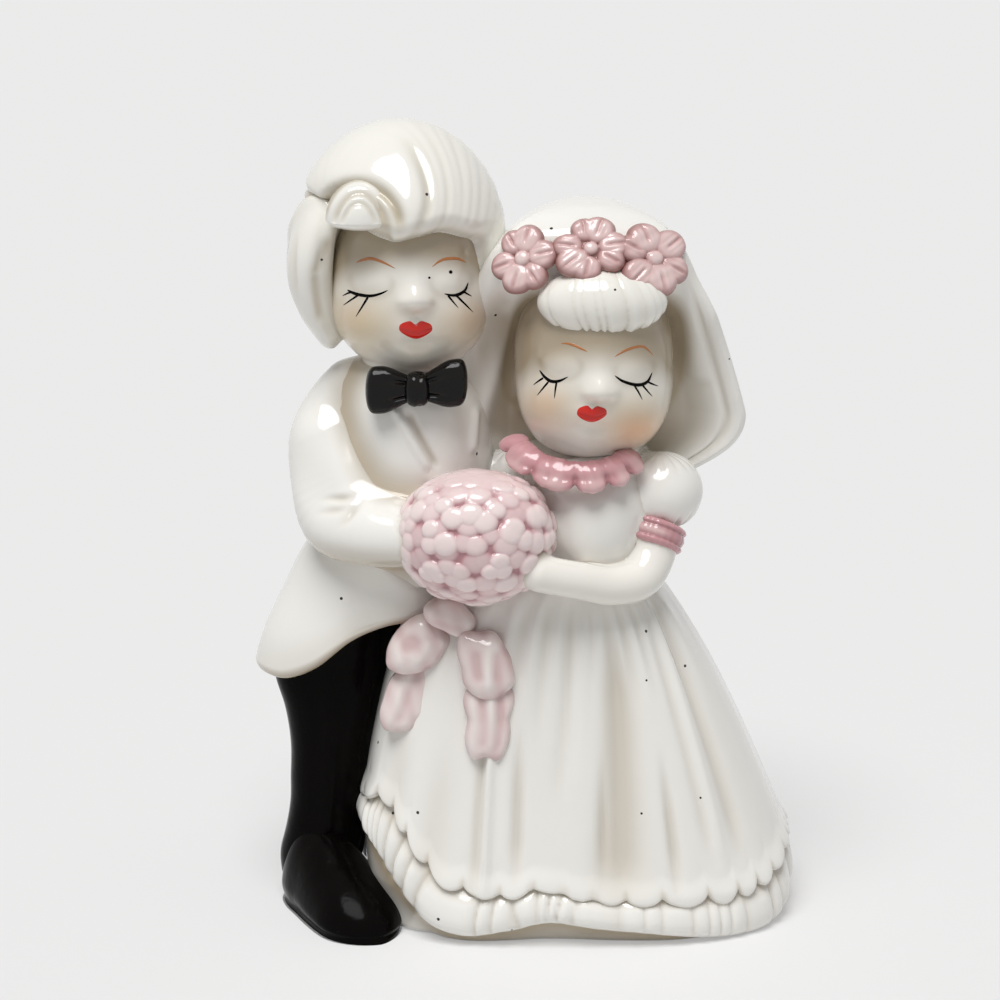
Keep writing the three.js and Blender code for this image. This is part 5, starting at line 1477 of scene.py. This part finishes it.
veil = {
    "z": [108.4, 108.0, 106.6, 103.8, 98.0, 88.0, 79.0, 75.8, 73.0, 70.7, 68.0, 66.0],
    "right": [9.0, 12.6, 17.0, 20.9, 23.9, 27.6, 30.4, 30.9, 29.7, 27.0, 22.2, 19.0],
    "left": [7.5, 3.6, -0.6, -4.4, -8.0, -10.4, -11.0, -11.0, -10.6, -10.0, -9.2, -8.4],
    "back": [0.5, 5.0, 9.0, 12.2, 14.6, 15.6, 16.0, 16.0, 15.8, 15.4, 14.6, 13.6],
    "front": [-3.0, -6.5, -9.6, -11.8, -10.6, -5.4, -3.8, -3.4, -3.0, -2.8, -2.6, -2.4],
    "inner": [-3.0, -6.5, -9.6, -11.8, -9.0, -2.0, -0.8, -0.4, 0.0, 0.2, 0.4, 0.6],
    "roll": 0.8, "ridge": (-2.0, 97.0, -8.4, 74.0), "pleat": (22.6, 96.0, 24.9, 82.0),
    "grid": (200, 300), "square": 2.4, "rearSquare": 2.2, "domeIn": 2.4, "domeOut": 3.6,
    "ridgeHigh": 0.9, "pleatHigh": 0.6, "inset": 0.45, "rearFolds": 9, "rearDepth": 0.9,
    "foldShade": 0.25, "edgeShade": 0.6, "insideShade": 0.75, "headShade": 0.9,
}


def makeVeil():
    # Level rings through the stations: the back is half a superellipse, the front is a shallow sheet between
    # two thick edges, with a soft fold beside the face on either side.
    angle, v = ringGrid(*veil["grid"])
    stations = np.arange(len(veil["z"]))
    z, left, right, back, front, inner = (glide(stations, veil[k], v * stations[-1])
                                          for k in ("z", "left", "right", "back", "front", "inner"))
    c, s = corner(np.cos(angle), veil["square"]), np.sin(angle)
    x = (left + right) / 2 + (right - left) / 2 * c
    rear = front + (back - front) * corner(np.clip(s, 0, 1), veil["rearSquare"])
    low = ease(99, 91, z)
    dome = front + veil["domeIn"] - veil["domeOut"] * domed(c)
    sheet = mix(dome, mix(inner, front, ease(0.6, 0.9, np.abs(c))), low)
    rear = mix(rear + veil["domeIn"] * (1 - s), rear, low)
    points = np.stack([x, np.where(s > 0, rear, sheet), z], -1)
    ahead = low * (s < 0)
    ridge = lineRelief(x, z, veil["ridge"], 1.5)
    broad = lineRelief(x, z, veil["ridge"], 4.2)
    pleat = lineRelief(x, z, veil["pleat"], 1.6)
    edge = veil["roll"] * bell(c - 1, 0.08) * low * ease(-0.5, 0.0, -s + 0.4)
    inset = -veil["inset"] * bell(c - 0.9, 0.025) * low * (s < 0.1)
    folds = veil["rearDepth"] * np.sin(veil["rearFolds"] * angle + 0.6 * np.sin(angle * 2))
    folds = folds * ease(0.15, 0.6, s) * ease(102, 80, z)
    relief = (veil["ridgeHigh"] * ridge + veil["pleatHigh"] * pleat) * ahead
    points = raised(points, edge + inset + folds + relief)
    points[0], points[-1] = points[0].mean(0) + [0, 0, 0.1], points[-1].mean(0)
    # painted shade in the rear folds, along the inset edges, over the sheet inside the thick edges and beside
    # the face
    beside = ease(3.6, 0.4, brideHeadGap(points)) * (s < 0.2)
    hollow = veil["foldShade"] * np.clip(-folds, 0, 1) - veil["edgeShade"] * inset
    hollow = hollow + veil["insideShade"] * ahead * ease(0.9, 0.55, np.abs(c)) * (1 - ridge)
    hollow = hollow + veil["headShade"] * beside * low + veil["edgeShade"] * (broad - ridge) * ahead
    addPiece("veil", points, whiteGlaze, hollow=hollow)


makeVeil()

print("veil, wreath and fringe made")


# Bouquet and ribbons

bouquet.update({
    "flowers": 52, "petals": 5, "spread": 0.215, "petal": 0.18, "high": 0.95, "grid": (200, 290),
    "lowShade": 1.5, "shadeFall": 1.75, "highlightFrom": 0.55, "highlightGain": 1.7, "mostHighlight": 0.9, "topHighlight": 0.6,
})


def makeBouquet():
    # A dome whose height over every direction is the tallest of many small flat cushions: rings of petals,
    # flower after flower along a golden spiral, left smooth on top.
    d = ballGrid(*bouquet["grid"], "front")
    n = bouquet["flowers"]
    k = np.arange(n)
    up = 1 - 2 * (k + 0.5) / n
    turn = k * pi * (3 - 5 ** 0.5)
    flower = np.stack([np.sqrt(1 - up ** 2) * np.cos(turn), -up, np.sqrt(1 - up ** 2) * np.sin(turn)], -1)
    flower = unitOf(flower + 0.06 * np.stack([np.sin(k * 5.1), np.sin(k * 3.7), np.sin(k * 7.3)], -1))
    side = unitOf(np.cross(flower, np.array([0.3, 0.2, 0.93])))
    rise = np.cross(flower, side)
    spin = (k * 1.3)[:, None] + np.arange(bouquet["petals"]) * 2 * pi / bouquet["petals"]
    buds = unitOf(flower[:, None]
                  + bouquet["spread"] * (np.cos(spin)[..., None] * side[:, None]
                                         + np.sin(spin)[..., None] * rise[:, None]))
    buds = buds.reshape(-1, 3)
    width = bouquet["petal"] * (1 + 0.15 * np.sin(np.arange(len(buds)) * 2.7))
    flat = d.reshape(-1, 3)

    def tallest(centres, widths, high):
        apart = np.sqrt(np.clip(2 - 2 * flat @ centres.T, 0, None)) / widths
        return (high * domed(apart, 3.2)).max(-1).reshape(d.shape[:2])
    height = tallest(buds, width, bouquet["high"] * (1 + 0.25 * np.sin(np.arange(len(buds)) * 4.1)))
    height = np.maximum(height, 0.4 * bouquet["high"])
    rough = ease(0.95, 0.68, d[..., 2])
    points = raised(bouquet["centre"] + d * bouquet["radii"], (height - 0.5) * mix(0.2, 1.0, rough))
    # painted shade low between the petals, painted highlight on the tall ones and over the smooth top
    tall = height / bouquet["high"]
    dark = np.clip(bouquet["lowShade"] - bouquet["shadeFall"] * tall, 0, 1) * rough
    paleAndHighlight = np.clip(bouquet["highlightGain"] * (tall - bouquet["highlightFrom"]), 0, bouquet["mostHighlight"])
    addPiece("bouquet", points, pinkEnamel, hollow=dark,
             crown=paleAndHighlight * rough + bouquet["topHighlight"] * (1 - rough))


makeBouquet()

ribbons = {
    # centre; pillow height; where its unevenness starts; dimples and ridges as a line in mm round the
    # centre, with a width and a height; outline as degrees and mm round the centre
    "ribbon_knot": {
        "centre": (-12.2, -15.6, 48.6), "high": 2.0, "drift": (-2.6, 2.6),
        "lines": [((-2.6, 0.2, 2.6, -1.0), 0.8, -0.3)],
        "outline": [(31, 3.2), (80, 3.6), (117, 3.6), (158, 4.0), (180, 3.3), (202, 2.3), (281, 2.1),
                    (314, 3.2), (354, 4.0)]},
    "ribbon_left_loop": {
        "centre": (-16.7, -14.0, 44.5), "high": 2.1, "drift": (1.6, 0.4),
        "lines": [((-0.6, 1.6, -1.4, -0.6), 1.4, -0.7), ((-3.0, 0.6, -2.6, -2.6), 0.7, 0.3),
                  ((1.6, 0.6, 0.4, -2.2), 0.8, 0.35)],
        "outline": [(8, 4.8), (31, 4.6), (65, 4.8), (94, 4.1), (127, 3.6), (167, 4.0), (198, 5.0), (218, 5.7),
                    (233, 5.3), (262, 4.4), (308, 3.9), (348, 4.2)]},
    "ribbon_left_tail": {
        "centre": (-18.0, -14.0, 36.2), "high": 1.3, "drift": (2.8, 1.2),
        "lines": [((1.2, 4.4, -1.4, -3.2), 0.8, -0.4), ((-0.6, 3.8, -3.0, -3.4), 0.7, 0.25),
                  ((2.8, 3.6, 1.2, -2.6), 0.7, 0.25)],
        "outline": [(27, 5.3), (52, 6.6), (82, 5.2), (132, 4.0), (187, 4.1), (218, 5.6), (230, 6.0),
                    (250, 5.4), (279, 4.6), (309, 3.9), (357, 3.5)]},
    "ribbon_right_loop": {
        "centre": (-6.5, -17.9, 42.3), "high": 2.0, "drift": (0.1, 0.2),
        "lines": [((-1.4, 2.6, -1.2, -1.6), 0.9, -0.5), ((1.5, 2.4, 1.5, -1.6), 0.7, -0.4),
                  ((0.1, 3.6, 0.2, -2.8), 0.7, 0.3)],
        "outline": [(20, 3.6), (50, 3.8), (79, 5.0), (108, 5.2), (128, 6.2), (145, 5.4), (184, 3.9),
                    (221, 4.4), (251, 4.7), (277, 4.9), (300, 4.7), (327, 4.6), (353, 3.8)]},
    "ribbon_right_tail": {
        "centre": (-6.3, -18.6, 34.0), "high": 1.4, "drift": (-2.4, -2.4),
        "lines": [((-0.9, 4.6, -0.9, -3.4), 0.8, -0.45), ((1.7, 4.0, 1.6, -3.6), 0.6, -0.3),
                  ((0.4, 4.6, 0.3, -3.6), 0.6, 0.3), ((-2.4, 3.6, -2.4, -3.6), 0.6, 0.25)],
        "outline": [(16, 3.3), (53, 5.7), (90, 6.0), (129, 5.5), (168, 3.3), (233, 5.3), (246, 6.0),
                    (266, 5.2), (284, 5.8), (300, 4.9), (340, 3.4)]},
}
patch = {"grid": (70, 150), "front": 0.62, "lean": 0.18, "sunk": 5.0, "relief": 0.65, "uneven": 0.2,
         "dimpleShade": 0.5, "edgeShade": 0.75, "ridgeHighlight": 1.8, "plainPale": 0.5}


def makeRibbon(name, look):
    # A moulded patch: a pillow over its outline that leans with the skirt, its back sunk in the skirt.
    angle, v = ringGrid(*patch["grid"])
    keys = np.array(look["outline"], float)
    turns = np.concatenate([keys[-3:, 0] - 360, keys[:, 0], keys[:3, 0] + 360])
    reach = glide(turns, np.concatenate([keys[-3:, 1], keys[:, 1], keys[:3, 1]]), np.degrees(angle))
    front = v <= patch["front"]
    q = np.where(front, np.sin(between(0, patch["front"], v) * pi / 2),
                 (1 - between(patch["front"], 1, v)) ** 0.5)
    px, pz = q * reach * np.cos(angle), q * reach * np.sin(angle)
    relief = 0 * px
    for line, width, high in look["lines"]:
        relief = relief + patch["relief"] * high * lineRelief(px, pz, line, width)
    across, down = look["drift"]
    relief = relief + patch["uneven"] * wander(px * 2.4 + 0.5 * pz + across, pz * 0.55 + down, 5)
    pillow = domed(q, 2.6)
    high = np.where(front, look["high"] * pillow + relief * ease(1.0, 0.7, q), -patch["sunk"] * domed(q))
    x, y, z = look["centre"]
    points = np.stack([x + px, y + patch["lean"] * pz - high, z + pz], -1)
    # painted shade in the dimples and towards the edge; painted highlight on the ridges over an even paler
    # tone
    hollow = -patch["dimpleShade"] * relief + patch["edgeShade"] * ease(0.7, 1.0, q)
    paleAndHighlight = np.clip(patch["ridgeHighlight"] * relief + patch["plainPale"], 0, 1)
    addPiece(name, points, paleEnamel, hollow=hollow, crown=paleAndHighlight * front)


for name, look in ribbons.items():
    makeRibbon(name, look)

print("bouquet and ribbons made")


# Floor, light and camera

def seenRays(tree):  # 1 for a ray from the camera, or one that glaze mirrors or lets through
    ray = addNode(tree, "ShaderNodeLightPath").outputs
    both = addNode(tree, "ShaderNodeMath", {0: ray["Is Camera Ray"], 1: ray["Is Glossy Ray"]},
                   operation="MAXIMUM")
    return addNode(tree, "ShaderNodeMath", {0: both.outputs[0], 1: ray["Is Transmission Ray"]},
                   operation="MAXIMUM").outputs[0]


studio = {
    # metres; how much of what is seen glows
    "floorSize": 6.0, "floor": "#E6E6E6", "glow": "#F3F3F3", "glowShare": 0.37,
    # where the light goes, and its width in degrees
    "lamp": (0.16, 0.43, -1.12), "spread": 36, "strength": 2.75,
    "sky": "#F4F2EF", "skyLevel": 0.21, "skySeen": 0.72,  # the horizon looks as pale as the floor
}


def makeFloor():
    # One wide square: lit paper mixed with a plain glow, for rays that the camera or a mirror sees.
    size = studio["floorSize"]
    mesh = bpy.data.meshes.new("floor")
    mesh.from_pydata([(-size, -size, 0), (size, -size, 0), (size, size, 0), (-size, size, 0)], [],
                     [(0, 1, 2, 3)])
    floor = bpy.data.objects.new("floor", mesh)
    bpy.context.scene.collection.objects.link(floor)
    paper = bpy.data.materials.new("matt paper floor")  # plain pale paper that keeps the object's shadow
    paper.use_nodes = True
    tree = paper.node_tree
    tree.nodes.remove(tree.nodes["Principled BSDF"])
    lit = addNode(tree, "ShaderNodeBsdfDiffuse", Color=linear(studio["floor"]))
    plain = addNode(tree, "ShaderNodeEmission", Color=linear(studio["glow"]), Strength=1.0)
    share = addNode(tree, "ShaderNodeMath", {0: seenRays(tree)}, operation="MULTIPLY", _1=studio["glowShare"])
    both = addNode(tree, "ShaderNodeMixShader", {0: share.outputs[0], 1: lit.outputs[0], 2: plain.outputs[0]})
    tree.links.new(both.outputs[0], tree.nodes["Material Output"].inputs["Surface"])
    mesh.materials.append(paper)


def makeLight():
    # A broad soft skylight of parallel light, and a dim pale sky all round.
    lamp = bpy.data.lights.new("skylight", "SUN")
    lamp.energy, lamp.angle = studio["strength"], radians(studio["spread"])
    holder = bpy.data.objects.new("skylight", lamp)
    holder.rotation_euler = Vector(studio["lamp"]).to_track_quat("-Z", "Y").to_euler()
    bpy.context.scene.collection.objects.link(holder)
    sky = bpy.data.worlds.new("studio")
    sky.use_nodes = True
    tree = sky.node_tree
    glow = tree.nodes["Background"]
    glow.inputs["Color"].default_value = linear(studio["sky"])
    level = addNode(tree, "ShaderNodeMath", {0: seenRays(tree)}, operation="MULTIPLY_ADD",
                    _1=studio["skySeen"], _2=studio["skyLevel"])
    tree.links.new(level.outputs[0], glow.inputs["Strength"])
    bpy.context.scene.world = sky


makeFloor()
makeLight()

view = {"aim": np.array([-4.672, 0.0, 62.821]), "distance": 400.0, "elevation": 14.0, "lens": 95.544,
        "sensor": 36.0, "far": 20.0}
lens = bpy.data.cameras.new("camera")
lens.lens, lens.sensor_width, lens.clip_end = view["lens"], view["sensor"], view["far"]
camera = bpy.data.objects.new("camera", lens)
tip = radians(view["elevation"])
spot = view["aim"] + drawing["shift"] - view["distance"] * np.array([0, cos(tip), -sin(tip)])
camera.location = spot * drawing["unit"]
camera.rotation_euler = (pi / 2 - tip, 0, 0)
bpy.context.scene.collection.objects.link(camera)
bpy.context.scene.camera = camera
bpy.context.scene.view_settings.view_transform = "Standard"

print("stage made")
